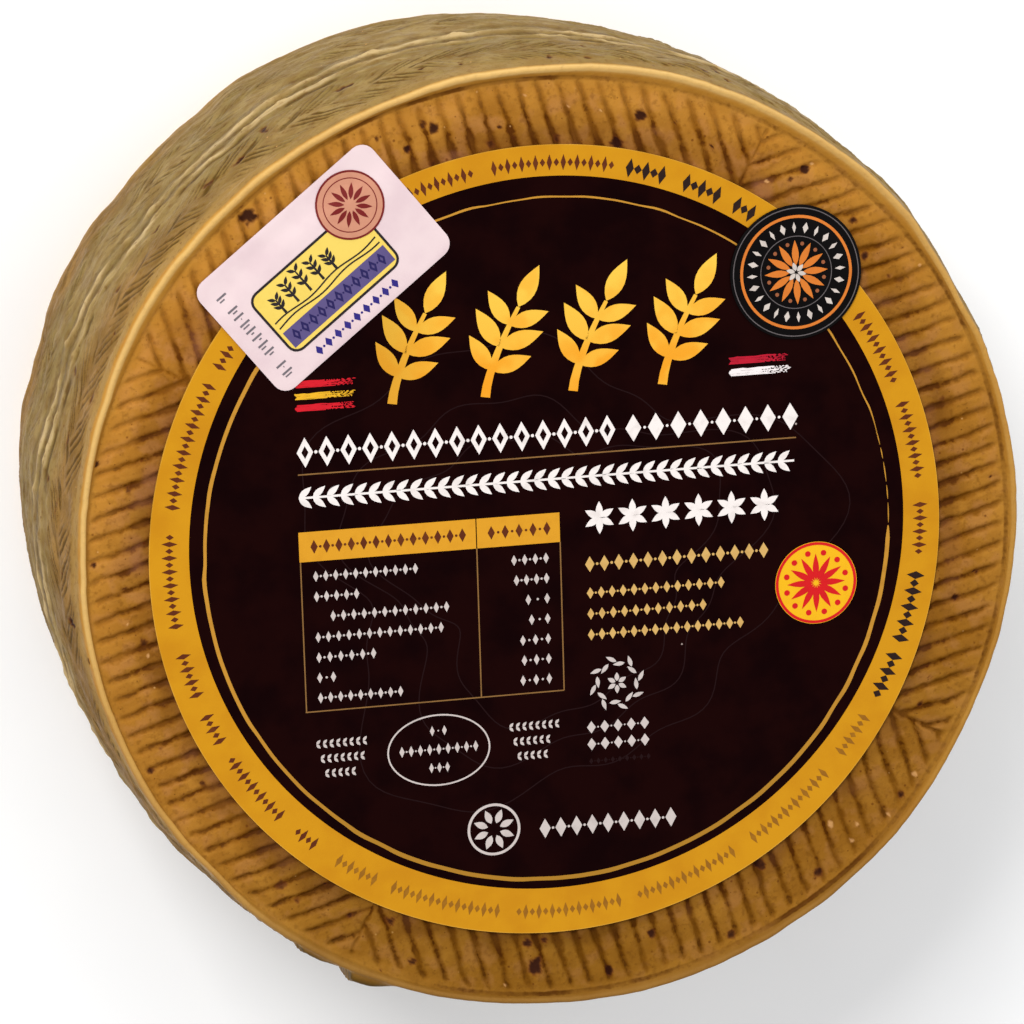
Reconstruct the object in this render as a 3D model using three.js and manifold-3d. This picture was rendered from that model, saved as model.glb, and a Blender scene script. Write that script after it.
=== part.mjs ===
// A whole wheel of pressed hard cheese, lying flat, with a round label, a card and a small round sticker.
// Both faces carry straight ribs in four quarters inside a raised lip. The wall carries a plait pattern.
// Millimetres, Z up. The origin is under the middle of the wheel, +X to the label's right, +Y to its top.

import * as THREE from "three";
import Module from "manifold-3d";

const wasm = await Module();
wasm.setup();

// Wheel
const wheelHeight = 96;
const edgeRadius = 100.2;
const wallBulge = 3.2;
const ringPoints = 120;

// Ribbed faces, their lips and the channel between them
const crestDepth = 1.8;
const channelDepth = 1.3;
const ribFieldRadius = 94.6;
const channelRadius = 95.8;
const topLipInner = 97.7;
const topLipOuter = 99.2;
const topLipShoulder = 1.4;
const footInner = 97.0;
const footOuter = 99.2;
const footShoulder = 1.6;

// Grooves between the ribs, counted from the middle line of a quarter to each side
const ribPitch = 4.15;
const groovesEachSide = 15;
const quarterCorner = THREE.MathUtils.degToRad(60.5);
const grooveHalfWidth = 1.35;
const grooveShoulderHalf = 0.5;
const grooveShoulderDepth = 0.3;
const grooveDepth = 1.1;

// Wall pattern, from the foot up: the height of a row, how far it stands off the wall, how far its points
// go out and in by turns, how far they go up and down by turns, and the row's turn in ring steps
const wallRows = [
  { z: 5.5, stand: 0, wave: 0, zigzag: 0, turn: 0 },
  { z: 13.5, stand: 0, wave: 0.4, zigzag: 0, turn: 0 },
  { z: 26, stand: 0, wave: 0.4, zigzag: 0, turn: 2 },
  { z: 38.5, stand: 0, wave: 0.4, zigzag: 0, turn: 0 },
  { z: 48, stand: -0.4, wave: 0, zigzag: 0, turn: 0.5 },
  { z: 52.5, stand: 0.5, wave: 0.35, zigzag: 0, turn: 0.5 },
  { z: 57.5, stand: -0.5, wave: 0, zigzag: 0, turn: 0.5 },
  { z: 61.5, stand: 0.6, wave: 0.1, zigzag: 0.9, turn: 0.5 },
  { z: 65.5, stand: -0.4, wave: 0, zigzag: 0, turn: 0.5 },
  { z: 69, stand: 0, wave: 0.4, zigzag: 0, turn: 1 },
  { z: 79.5, stand: 0, wave: 0.4, zigzag: 0, turn: 3 },
  { z: 89.5, stand: 0, wave: 0.4, zigzag: 0, turn: 1 },
  { z: 91.5, stand: 0, wave: 0, zigzag: 0, turn: 1 },
];

// Label, card and round sticker
const stickerThickness = 0.5;
const stickerGap = 0.3;
const labelRadius = 84.1;
const labelCentre = [-0.85, -0.5];
const cardLength = 46.6;
const cardWidth = 29.1;
const cardCorner = 3.0;
const cardCornerSteps = 5;
const cardCentre = [-46.4, 61.2];
const cardTurn = THREE.MathUtils.degToRad(38.4);
const roundelRadius = 14.1;
const roundelPoints = 48;
const roundelCentre = [52.6, 53.8];
const stepWall = 0.6;
const cutterReach = 1;
const samePlace = 0.0001;

// Heights that follow from the sizes above
const topCrest = wheelHeight - crestDepth;
const labelBottom = topCrest + stickerGap;
const labelTop = labelBottom + stickerThickness;
const overLabel = labelTop + stickerGap;

function circle(radius, count = ringPoints, centre = [0, 0]) {
  const points = [];
  for (let i = 0; i < count; i += 1) {
    const angle = (2 * Math.PI * i) / count;
    points.push([centre[0] + radius * Math.cos(angle), centre[1] + radius * Math.sin(angle)]);
  }
  return points;
}

function atHeight(outline, z) {
  return outline.map(([x, y]) => new THREE.Vector3(x, y, z));
}

// A closed surface of triangles, in which points at one place are one point
class Skin {
  constructor() {
    this.points = [];
    this.triangles = [];
    this.numbers = new Map();
  }

  number(point) {
    const key = point.toArray().map((size) => Math.round(size / samePlace)).join();
    if (!this.numbers.has(key)) {
      this.numbers.set(key, this.points.length);
      this.points.push(point);
    }
    return this.numbers.get(key);
  }

  triangle(...corners) {
    const numbers = corners.map((point) => this.number(point));
    if (new Set(numbers).size === corners.length) {
      this.triangles.push(...numbers);
    }
  }

  quad(a, b, c, d) {
    this.triangle(a, b, c);
    this.triangle(a, c, d);
  }

  band(lower, upper) {
    lower.forEach((point, i) => {
      const next = (i + 1) % lower.length;
      this.quad(point, lower[next], upper[next], upper[i]);
    });
  }

  cap(ring, facesUp) {
    const flat = ring.map((point) => new THREE.Vector2(point.x, point.y));
    for (const [a, b, c] of THREE.ShapeUtils.triangulateShape(flat, [])) {
      this.triangle(ring[a], ring[facesUp ? b : c], ring[facesUp ? c : b]);
    }
  }

  geometry() {
    const geometry = new THREE.BufferGeometry();
    const positions = this.points.flatMap((point) => point.toArray());
    geometry.setAttribute("position", new THREE.Float32BufferAttribute(positions, 3));
    geometry.setIndex(this.triangles);
    return geometry;
  }
}

function prism(outline, bottom, top) {
  const skin = new Skin();
  skin.band(atHeight(outline, bottom), atHeight(outline, top));
  skin.cap(atHeight(outline, bottom), false);
  skin.cap(atHeight(outline, top), true);
  return skin.geometry();
}

function toSolid(geometry) {
  return new wasm.Manifold(new wasm.Mesh({
    numProp: 3,
    vertProperties: new Float32Array(geometry.attributes.position.array),
    triVerts: new Uint32Array(geometry.index.array),
  }));
}

function fromSolid(solid) {
  const mesh = solid.getMesh();
  const geometry = new THREE.BufferGeometry();
  geometry.setAttribute("position", new THREE.Float32BufferAttribute(mesh.vertProperties, 3));
  geometry.setIndex([...mesh.triVerts]);
  return geometry;
}

// Ribbed face, with the level of the ribs at zero and the outside above. Across each quarter, the lines
// where the surface bends run side by side from the quarter's corner line to the channel.
function ribLines() {
  const lines = [];
  for (let i = -groovesEachSide; i <= groovesEachSide; i += 1) {
    const middle = i * ribPitch;
    lines.push(
      { across: middle - grooveHalfWidth, depth: 0 },
      { across: middle - grooveShoulderHalf, depth: grooveShoulderDepth },
      { across: middle, depth: grooveDepth },
      { across: middle + grooveShoulderHalf, depth: grooveShoulderDepth },
      { across: middle + grooveHalfWidth, depth: 0 },
    );
  }
  return lines;
}

function lineEnds({ across, depth }) {
  const endRadius = ribFieldRadius + (channelRadius - ribFieldRadius) * (depth / channelDepth);
  return {
    start: new THREE.Vector3(Math.abs(across), across, -depth),
    end: new THREE.Vector3(Math.sqrt(endRadius ** 2 - across ** 2), across, -depth),
  };
}

function turned(point, angle) {
  return point.clone().applyAxisAngle(new THREE.Vector3(0, 0, 1), angle);
}

function ribbedFace(skin, placement) {
  const place = (point) => point.clone().applyMatrix4(placement);
  const ends = ribLines().map(lineEnds);
  const corner = new THREE.Vector3(ribFieldRadius * Math.SQRT1_2, ribFieldRadius * Math.SQRT1_2, 0);
  const edge = [];
  for (let quarter = 0; quarter < 4; quarter += 1) {
    const turn = quarterCorner - Math.PI / 4 + (quarter * Math.PI) / 2;
    const lines = ends.map(({ start, end }) => ({ start: turned(start, turn), end: turned(end, turn) }));
    for (let i = 0; i + 1 < lines.length; i += 1) {
      const [left, right] = [lines[i + 1], lines[i]];
      skin.quad(...[right.start, right.end, left.end, left.start].map(place));
    }
    const nextFirst = turned(ends[0].end, turn + Math.PI / 2);
    const last = lines[lines.length - 1];
    const tip = turned(corner, turn);
    skin.quad(...[last.start, last.end, tip, nextFirst].map(place));
    edge.push(...lines.map((line) => line.end), tip);
  }
  channelFlank(skin, edge, atHeight(circle(channelRadius), -channelDepth), place);
}

// Fills between the edge of the ribs and the ring at the bottom of the channel, going round both by angle
function channelFlank(skin, edge, ring, place) {
  const angleOf = (point) => Math.atan2(point.y, point.x);
  const inner = [...edge].sort((p, q) => angleOf(p) - angleOf(q));
  const outer = [...ring].sort((p, q) => angleOf(p) - angleOf(q));
  const angleAt = (points, i) => angleOf(points[i % points.length]) + (i < points.length ? 0 : 2 * Math.PI);
  const at = (points, i) => place(points[i % points.length]);
  let i = 0;
  let j = 0;
  while (i < inner.length || j < outer.length) {
    const innerIsNext = j === outer.length
      || (i < inner.length && angleAt(inner, i + 1) < angleAt(outer, j + 1));
    if (innerIsNext) {
      skin.triangle(at(inner, i), at(outer, j), at(inner, i + 1));
      i += 1;
    } else {
      skin.triangle(at(inner, i), at(outer, j), at(outer, j + 1));
      j += 1;
    }
  }
}

// Wheel body
function wallRadius(z) {
  const fromMiddle = (2 * z) / wheelHeight - 1;
  return edgeRadius + wallBulge * (1 - fromMiddle * fromMiddle);
}

function wallRing({ z, stand, wave, zigzag, turn }) {
  const ring = [];
  for (let i = 0; i < ringPoints; i += 1) {
    const side = i % 2 === 0 ? 1 : -1;
    const angle = (2 * Math.PI * (i + turn)) / ringPoints;
    const radius = wallRadius(z) + stand + side * wave;
    ring.push(new THREE.Vector3(radius * Math.cos(angle), radius * Math.sin(angle), z + side * zigzag));
  }
  return ring;
}

function cheeseWheel() {
  const skin = new Skin();
  const foot = [
    [channelRadius, crestDepth + channelDepth],
    [footInner, 0],
    [footOuter, 0],
    [edgeRadius, footShoulder],
  ];
  const lip = [
    [edgeRadius, wheelHeight - topLipShoulder],
    [topLipOuter, wheelHeight],
    [topLipInner, wheelHeight],
    [channelRadius, topCrest - channelDepth],
  ];
  const lastTurn = (2 * Math.PI * wallRows[wallRows.length - 1].turn) / ringPoints;
  const rings = [
    ...foot.map(([radius, z]) => atHeight(circle(radius), z)),
    ...wallRows.map(wallRing),
    ...lip.map(([radius, z]) => atHeight(circle(radius), z).map((point) => turned(point, lastTurn))),
  ];
  for (let i = 0; i + 1 < rings.length; i += 1) {
    skin.band(rings[i], rings[i + 1]);
  }
  ribbedFace(skin, new THREE.Matrix4().makeTranslation(0, 0, topCrest));
  const turnedOver = new THREE.Matrix4().makeRotationX(Math.PI);
  ribbedFace(skin, new THREE.Matrix4().makeTranslation(0, 0, crestDepth).multiply(turnedOver));
  return skin.geometry();
}

// Stickers: a small one lies on the ribs, and steps up where it passes over the label's edge
function roundedRectangle(length, width, corner, centre, turn) {
  const points = [];
  for (let quarter = 0; quarter < 4; quarter += 1) {
    const along = (quarter === 0 || quarter === 3 ? 1 : -1) * (length / 2 - corner);
    const across = (quarter < 2 ? 1 : -1) * (width / 2 - corner);
    for (let i = 0; i <= cardCornerSteps; i += 1) {
      const angle = ((quarter + i / cardCornerSteps) * Math.PI) / 2;
      const x = along + corner * Math.cos(angle);
      const y = across + corner * Math.sin(angle);
      points.push([
        centre[0] + x * Math.cos(turn) - y * Math.sin(turn),
        centre[1] + x * Math.sin(turn) + y * Math.cos(turn),
      ]);
    }
  }
  return points;
}

function steppedSticker(outline) {
  const inner = circle(labelRadius + stickerGap, ringPoints, labelCentre);
  const outer = circle(labelRadius + stickerGap + stepWall, ringPoints, labelCentre);
  const upperTop = overLabel + stickerThickness;
  const below = labelBottom - cutterReach;
  const above = upperTop + cutterReach;
  const low = toSolid(prism(outline, labelBottom, labelBottom + stickerThickness))
    .subtract(toSolid(prism(inner, below, above)));
  const high = toSolid(prism(outline, overLabel, upperTop))
    .intersect(toSolid(prism(outer, below, above)));
  const step = toSolid(prism(outline, labelBottom, upperTop))
    .intersect(toSolid(prism(outer, below, above)).subtract(toSolid(prism(inner, below - 1, above + 1))));
  return fromSolid(low.add(high).add(step));
}

// Assembly
function addPart(group, name, geometry, colour, roughness) {
  geometry.computeVertexNormals();
  const material = new THREE.MeshStandardMaterial({ color: colour, roughness, metalness: 0 });
  const mesh = new THREE.Mesh(geometry, material);
  mesh.name = name;
  group.add(mesh);
}

const cheese = new THREE.Group();
cheese.name = "manchego_cheese";
const label = prism(circle(labelRadius, ringPoints, labelCentre), labelBottom, labelTop);
const card = roundedRectangle(cardLength, cardWidth, cardCorner, cardCentre, cardTurn);
const roundel = circle(roundelRadius, roundelPoints, roundelCentre);
addPart(cheese, "cheese_wheel", cheeseWheel(), 0xa97d3c, 0.6);
addPart(cheese, "label_disc", label, 0x1c0705, 0.35);
addPart(cheese, "label_card", steppedSticker(card), 0xeee2e6, 0.4);
addPart(cheese, "label_roundel", steppedSticker(roundel), 0x0b0708, 0.4);

export default cheese;
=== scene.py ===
import itertools
import math
from collections import namedtuple

import bpy
import numpy as np
from mathutils import Matrix, Vector


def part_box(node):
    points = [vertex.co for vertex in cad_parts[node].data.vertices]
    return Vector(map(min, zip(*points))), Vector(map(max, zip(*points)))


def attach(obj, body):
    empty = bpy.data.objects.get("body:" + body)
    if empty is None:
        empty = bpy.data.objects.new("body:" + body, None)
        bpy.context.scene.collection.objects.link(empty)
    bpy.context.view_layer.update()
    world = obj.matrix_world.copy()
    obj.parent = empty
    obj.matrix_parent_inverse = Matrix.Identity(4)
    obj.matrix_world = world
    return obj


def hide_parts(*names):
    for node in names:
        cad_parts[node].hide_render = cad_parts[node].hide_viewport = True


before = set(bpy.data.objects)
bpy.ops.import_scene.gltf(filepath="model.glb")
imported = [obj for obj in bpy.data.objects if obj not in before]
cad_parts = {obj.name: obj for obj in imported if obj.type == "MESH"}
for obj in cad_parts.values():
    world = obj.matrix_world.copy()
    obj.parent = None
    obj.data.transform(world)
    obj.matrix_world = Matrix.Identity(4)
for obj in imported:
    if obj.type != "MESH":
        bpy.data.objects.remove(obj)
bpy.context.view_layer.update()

MM = 0.001


def box_mm(node):
    """A CAD node's lowest and highest corners, in millimetres."""
    return [np.array(corner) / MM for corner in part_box(node)]


# Driving dimensions in millimetres, with the height and the stickers' places from the frame
label_low, label_high = box_mm("label_disc")
card_low, card_high = box_mm("label_card")
roundel_low, roundel_high = box_mm("label_roundel")
HEIGHT = box_mm("cheese_wheel")[1][2]
EDGE_RADIUS = 100.2
WALL_BULGE = 3.2
FIELD_RADIUS = 97.7
CREST_DEPTH = 1.8
CHANNEL_DEPTH = 1.65
RIB_PITCH = 4.15
QUARTER = math.pi / 2
QUARTER_MIDDLE = math.radians(15.5)
LABEL_CENTRE = (label_low[:2] + label_high[:2]) / 2
LABEL_RADIUS = (label_high[0] - label_low[0]) / 2
LABEL_TOP = label_high[2]
LABEL_UNDERSIDE = label_low[2]
CARD_CENTRE = (card_low[:2] + card_high[:2]) / 2
CARD_SIZE = (46.6, 29.1)
CARD_CORNER = 3.0
CARD_TURN = math.radians(38.4)
ROUNDEL_CENTRE = (roundel_low[:2] + roundel_high[:2]) / 2
ROUNDEL_RADIUS = (roundel_high[0] - roundel_low[0]) / 2
ROUNDEL_TURN = math.radians(-13)
# Radius at which lengths round the wall are measured
ROUND_RADIUS = 100


# Numbers and noise

def smooth(low, high, value):
    """0 below low, 1 above high and a smooth step between them."""
    part = np.clip((value - low) / (high - low), 0, 1)
    return part * part * (3 - 2 * part)


def noise(points, size, seed):
    """Smooth noise from -1 to 1 whose features are about size across, at points in millimetres."""
    cell = np.asarray(points, float) / size + seed * 17.31
    base = np.floor(cell).astype(np.int64)
    part = cell - base
    fade = part * part * part * (part * (part * 6 - 15) + 10)
    total = np.zeros(cell.shape[:-1])
    for corner in itertools.product((0, 1), repeat=cell.shape[-1]):
        hashed = np.full(total.shape, seed * 374761393, np.uint64)
        weight = np.ones(total.shape)
        for axis, step in enumerate(corner):
            number = (base[..., axis] + step).astype(np.uint64)
            hashed = (hashed ^ number * np.uint64(0x9E3779B97F4A7C15)) * np.uint64(0xBF58476D1CE4E5B9)
            hashed ^= hashed >> np.uint64(29)
            weight = weight * (fade[..., axis] if step else 1 - fade[..., axis])
        total += weight * ((hashed >> np.uint64(40)).astype(float) / 2**23 - 1)
    return total


def around(angles, controls):
    """A smooth value round the wheel through (degrees, value) controls."""
    where = np.array([control[0] for control in controls], float)
    value = np.tile([control[1] for control in controls], 3).astype(float)
    where = np.concatenate([where - 360, where, where + 360])
    degrees = np.degrees(angles) % 360
    index = np.clip(np.searchsorted(where, degrees, side="right") - 1, 0, len(where) - 2)
    part = smooth(where[index], where[index + 1], degrees)
    return value[index] * (1 - part) + value[index + 1] * part


def groove_shape(distance, period, power):
    """1 on a groove's line, falling to 0 half way to the next one."""
    near = np.abs(distance / period - np.round(distance / period)) * 2
    return (1 - near) ** power


def lip_step(radius, start, end):
    """A smooth step across the lip, between two distances out from its foot."""
    return smooth(FIELD_RADIUS + start, FIELD_RADIUS + end, radius)


def label_distance(x, y):
    """How far a point is from the label's centre."""
    return np.hypot(x - LABEL_CENTRE[0], y - LABEL_CENTRE[1])


def turned(points, angle):
    """Points turned counterclockwise about zero."""
    return points @ np.array([[math.cos(angle), math.sin(angle)], [-math.sin(angle), math.cos(angle)]])


def raised(flat, heights):
    """Flat points with their heights added."""
    return np.concatenate([flat, heights[..., None]], -1)


def unit(degrees):
    """The direction at an angle in degrees."""
    return np.array([math.cos(math.radians(degrees)), math.sin(math.radians(degrees))])


def ring_points(angles, depth):
    """Points on a plain cylinder, where noise meets itself round the wheel."""
    return np.stack([ROUND_RADIUS * np.cos(angles), ROUND_RADIUS * np.sin(angles), depth], -1)


# What changes round the wheel

# How far the lip, the wall and the lip's foot stray from round, as (degrees, millimetres)
LIP_OUTLINE = [(12, 0.1), (21, 0.15), (28, -0.6), (34, -0.3), (42, 0.8), (58, 0.5), (72, 0.5), (95, -0.2),
               (147, 0.25), (177, -0.75), (212, -0.6), (222, -0.8), (231, 0.2), (250, 0.3), (260, 0.0),
               (282, 1.1), (312, 1.0), (338, 0.1)]
WALL_OUTLINE = [(28, -0.1), (42, 0.8), (60, -0.1), (80, -1.2), (110, -0.8), (120, -0.5), (126, -1.4),
                (139, -1.4), (147, -0.2), (157, 0.1), (161, -0.5), (165, -0.4), (170, 0.5), (177, 0.2),
                (207, -0.4), (225, 0.2), (262, 0.0), (310, -0.2)]
FOOT_OUTLINE = [(8, 0.4), (28, 0.0), (50, -0.5), (80, -0.5), (115, -0.1), (150, -0.3), (180, 0.1),
                (235, 0.1), (256, 0.8), (295, 1.1), (311, 1.5), (328, 0.9), (350, 0.8)]
# Depth at which the lip's outline has turned into the wall's
OUTLINE_DEPTH = 45
# How far in from the lip's foot the ribs stray with it
FOOT_REACH = 11.7
# Swells of the wall under the lip: degrees where each starts and ends, and its height
SWELLS = [(235.5, 242.4, 0.9), (242.4, 249.5, 2.0)]
# Degrees over which a swell rises and falls
SWELL_RISE, SWELL_FALL = 1, 4.5
# Depths between which the swells come out of the wall, and go back into it
SWELL_TOP, SWELL_BOTTOM = (0.8, 3.2), (10, 30)
# How far each mitre between two quarters of the ribs is off its place, in degrees
MITRE_SHIFTS = (0, 1.6, 1.0, -0.8)
# Painted shade round the wheel: how much darker the top face and the lip are where less light falls, as
# (degrees, share), the second list for the lip
PAINTED_SHADE_ROUND = [(0, 0.34), (30, 0.33), (60, 0.14), (90, 0.16), (120, 0.02), (150, 0), (180, 0.18), (210, 0.22),
        (240, 0.72), (270, 0.82), (300, 0.62), (330, 0.62)]
LIP_PAINTED_SHADE_ROUND = [(20, 0.05), (190, 0), (216, 0.1), (238, 1), (305, 1), (325, 0.55), (350, 0.35)]
# Painted highlight: how bright the lip's crest is round the wheel
CREST_PAINTED_HIGHLIGHT = [(15, 0.25), (50, 0.7), (75, 1), (95, 1), (120, 0.75), (150, 0.85), (180, 0.9), (200, 0.45),
         (220, 0.3), (240, 0.1), (330, 0.05)]
# How far up to the lip the wall is khaki
KHAKI = [(60, 1), (112, 0.9), (150, 0), (230, 0), (300, 0.6)]
# How dark the line at the lip's foot is: a dark line of its own, with painted shade in the channel there
FOOT_SHADE = [(8, 0.7), (50, 0.6), (75, 0.4), (92, 1), (126, 0.9), (142, 0.2), (190, 0.15), (208, 0.45),
              (240, 0.2), (268, 0.9), (282, 0.7), (305, 1), (325, 0.6), (345, 0.7)]


def foot_stray(angles, radius):
    """How far out the lip's foot strays, and the ends of the ribs with it."""
    return around(angles, FOOT_OUTLINE) * lip_step(radius, -FOOT_REACH, 0)


def outline_stray(angles, depth):
    """How far out the lip and the wall stray."""
    share = smooth(0, OUTLINE_DEPTH, depth)
    return around(angles, LIP_OUTLINE) * (1 - share) + around(angles, WALL_OUTLINE) * share


def swell_height(angles, depth):
    """How far the wall swells out under the lip."""
    degrees = np.degrees(angles) % 360
    total = np.zeros(angles.shape)
    for start, end, height in SWELLS:
        rise = smooth(start, start + SWELL_RISE, degrees)
        total += height * rise * (1 - smooth(end - SWELL_FALL, end, degrees))
    return total * smooth(*SWELL_TOP, depth) * (1 - smooth(*SWELL_BOTTOM, depth))


# Stains and specks

# Marks on the top face: place in millimetres, size across, and darkness
FACE_MARKS = [
    (-61.5, 73, 3.4, 1), (-62.8, 75.2, 1.4, 0.6), (-53.5, 78, 1.0, 0.6), (-44.2, 88, 0.9, 1),
    (-22.8, 88.4, 2.2, 0.9), (-24.6, 89.2, 1.3, 0.7), (-28, 84.3, 1.7, 1), (-34.5, 86.8, 1.1, 0.6),
    (-9, 87.7, 1.2, 0.9), (-23, 80.8, 1.8, 0.5), (-11, 84.3, 2.2, 0.6), (-6, 85.2, 1.3, 0.5),
    (-94.8, 24, 1.2, 0.8), (-88.3, 18.2, 1.6, 0.6), (-96, 3, 1.1, 0.8), (-90, -2.5, 0.8, 0.7),
    (-86.5, -14, 1.9, 0.6), (-86.2, -41.5, 1.9, 0.8), (-75.7, -45.3, 1.3, 0.7), (-84, -37, 1.0, 0.5),
    (-51, -69.8, 1.4, 0.9), (-60.3, -68.8, 2.0, 0.5), (-57, -72.5, 1.4, 0.7), (-46, -77, 1.5, 0.7),
    (-48, -81.3, 1.0, 0.6), (-37.3, -78.8, 2.2, 0.8), (-33, -87.8, 1.7, 0.8), (-39.8, -89.3, 1.2, 0.7),
    (-24.5, -88.8, 1.1, 0.6), (-6.5, -91.6, 2.9, 1), (-8.3, -86.6, 2.0, 0.8), (-4.5, -86.4, 1.3, 0.7),
    (19, -87, 2.0, 0.9), (9.5, -94.2, 2.0, 0.9), (36, -88.4, 2.0, 0.7), (43, -74, 2.6, 0.8),
    (55.3, -76.6, 2.0, 0.8), (73.8, -61, 1.5, 0.8), (87, -19, 1.8, 1), (91.2, -13.8, 1.5, 0.9),
    (79, -41.8, 1.6, 0.8), (81, -36, 1.0, 0.5), (94.5, 6.8, 1.2, 0.9), (15.5, 82.8, 2.8, 1),
    (20.8, 88.3, 2.6, 0.9), (3, 84.2, 1.9, 0.8), (28, 86.5, 0.7, 0.7), (35.5, 81, 1.2, 0.8),
    (55, 75, 2.3, 1), (52, 73.2, 1.1, 0.6), (65.5, 64, 2.2, 0.9), (67.8, 56.3, 2.1, 0.8),
    (76, 57.2, 1.1, 0.7), (73, 51.5, 1.3, 0.7), (84.5, 24.5, 1.4, 0.5), (6, 98.3, 0.9, 0.4),
]
# Pale dried specks on the top face: place and size
FACE_SPECKS = [
    (7, 94.8, 0.8), (12.2, 90, 0.9), (5.5, 91.2, 0.8), (47, 73, 1.1), (79.8, 53.3, 0.8), (57, 76.3, 0.7),
    (58.5, -66.5, 1.5), (62.8, -70, 1.3), (76.8, -56.8, 1.4), (-13.2, -95, 1.1), (-89.7, -10, 1.3),
    (-3.5, 94, 1.0), (-86, -17, 0.9), (70.8, -65, 1.0), (64, -66.5, 1.2),
]
# Marks on the wall: degrees, depth below the lip, half width, half height and darkness
WALL_MARKS = [
    (186, 9.5, 1.2, 3.0, 1), (190, 2, 1.1, 0.8, 0.7), (173.5, 19, 2.6, 1.0, 0.6),
    (165.5, 19, 2.2, 1.1, 0.6), (159, 8.5, 1.6, 0.8, 0.5), (151, 9.5, 0.8, 0.8, 0.8),
    (147, 22, 1.8, 1.2, 0.6), (139, 26, 1.5, 1.2, 0.6), (131, 19, 1.6, 1.0, 0.6),
    (126.5, 17, 1.9, 1.1, 0.8), (122, 22, 1.0, 2.2, 0.7), (111.5, 21, 2.2, 1.3, 0.7),
    (103, 12.5, 0.9, 1.0, 0.9), (98.5, 9.5, 0.9, 1.0, 0.8), (88.5, 6.5, 0.7, 1.6, 0.8),
    (83, 18, 0.7, 2.2, 0.8), (84, 5, 0.9, 0.9, 0.7), (69, 12, 1.2, 3.2, 1), (65.5, 24, 1.0, 5, 0.8),
    (66.3, 9, 0.9, 2.0, 0.8), (74, 7, 0.7, 1.3, 0.6), (158, 27, 1.1, 2.0, 0.6), (171, 28, 1.2, 1.6, 0.6),
]


def spots(x, y, places, seed):
    """How strongly each point lies in one of several soft-edged spots with ragged outlines."""
    points = np.stack([x, y], -1)
    rough = 0.4 * noise(points, 1.5, seed) + 0.2 * noise(points, 0.7, seed + 1)
    result = np.zeros(x.shape)
    for across, along, half_width, half_height, strength in places:
        near = (np.abs(x - across) < 2 * half_width) & (np.abs(y - along) < 2 * half_height)
        distance = np.hypot((x[near] - across) / half_width, (y[near] - along) / half_height) + rough[near]
        result[near] = np.maximum(result[near], strength * (1 - smooth(0.25, 1.1, distance)))
    return result


# The ribbed faces

COLUMN_STEPS = 420


def column_offsets():
    """Places across a quarter of a face, at even steps from mitre to mitre."""
    half = FIELD_RADIUS * math.sqrt(0.5)
    return np.linspace(-half, half, COLUMN_STEPS + 1)


def column_angles():
    """The angles at which the lines of all four quarters end, which are also the wall's columns."""
    local = np.arcsin(column_offsets() / FIELD_RADIUS)[:-1]
    return np.concatenate([QUARTER_MIDDLE + quarter * QUARTER + local for quarter in range(4)])


def field_grids(bands):
    """The four quarters of a face as grids of x and y, each along its ribs and across them.

    A band is the radius that its rows end at, and their number."""
    across = column_offsets()
    rows = [np.abs(across)]
    for radius, count in bands:
        end = np.maximum(rows[-1], np.sqrt(np.clip(radius**2 - across**2, 0, None)))
        rows += [rows[-1] + (end - rows[-1]) * step / count for step in range(1, count + 1)]
    along = np.array(rows)
    for quarter in range(4):
        turn = QUARTER_MIDDLE + quarter * QUARTER
        yield (along * math.cos(turn) - across * math.sin(turn),
               along * math.sin(turn) + across * math.cos(turn))


def quarter_place(x, y):
    """How far a point is across the ribs of its quarter of a face, and from the nearest mitre."""
    angle = np.arctan2(y, x) - QUARTER_MIDDLE
    corner = np.floor(angle / QUARTER)
    mitre = (corner + 0.5) * QUARTER + np.radians(MITRE_SHIFTS)[corner.astype(int) % 4]
    in_quarter = angle - (corner + (angle > mitre)) * QUARTER
    radius = np.hypot(x, y)
    return radius * np.sin(in_quarter), radius * np.abs(angle - mitre)


def face_depth(x, y, seed):
    """Depth below the lip of a ribbed face, and each point's distance from a groove, from 0 to 1."""
    points = np.stack([x, y], -1)
    across, from_mitre = quarter_place(x, y)
    bend = 0.3 * noise(points, 17, seed) + 0.22 * noise(points, 4.5, seed + 1)
    bend += 0.15 * noise(points, 1.5, seed + 7)
    place = (across + bend) / RIB_PITCH
    gap = 2 * np.abs(place - np.round(place))
    mitre = np.clip(from_mitre + 0.3 * noise(points, 3, seed + 8), 0, None)
    gap = np.minimum(gap, 0.1 + mitre / 1.6)
    wear = 1 + 0.35 * noise(points, 8, seed + 2) + 0.3 * noise(points, 2.2, seed + 6)
    level = CREST_DEPTH + 0.12 * noise(points, 24, seed + 3) + 0.12 * noise(points, 3.5, seed + 4)
    valley = 0.5 * (1 - smooth(0.0, 0.6, gap)) + 0.25 * (1 - smooth(0.0, 0.22, gap))
    end = lip_step(np.hypot(x, y) + 0.6 * noise(points, 4, seed + 5), -1.9, 0)
    depth = level + valley * wear
    return depth * (1 - end) + CHANNEL_DEPTH * end, gap + (1 - gap) * 0.45 * end


# The plaited wall

# Rows of slanted strands: depth of top and bottom, slant and strength
STRAND_ROWS = [(5.5, 15, 0.85, 0.85), (16.5, 25, -0.95, 0.7), (50, 58.5, 0.8, 0.6), (60, 68, -0.8, 0.7),
               (69.5, 77.5, 0.8, 0.65), (79.5, 87.5, -0.75, 0.6)]
STRAND_PITCH = 2.4
LEAF_PITCH = 2 * math.pi * ROUND_RADIUS / 62
KNOT_PITCH = 2 * math.pi * ROUND_RADIUS / 78
# Depths of the two cords, and of a fainter one above them
CORD_DEPTHS = (33.0, 40.7, 26.2)
# Depths of the two rows of crescent hollows
CRESCENT_DEPTHS = (16, 59.5)


def zigzag(place, pitch):
    """A wave of straight lines from -1 to 1."""
    return np.abs((place / pitch) % 1 - 0.5) * 4 - 1


def near_line(distance, width):
    """1 on a line, falling off smoothly over about width to each side."""
    return np.exp(-((distance / width) ** 2))


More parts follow.
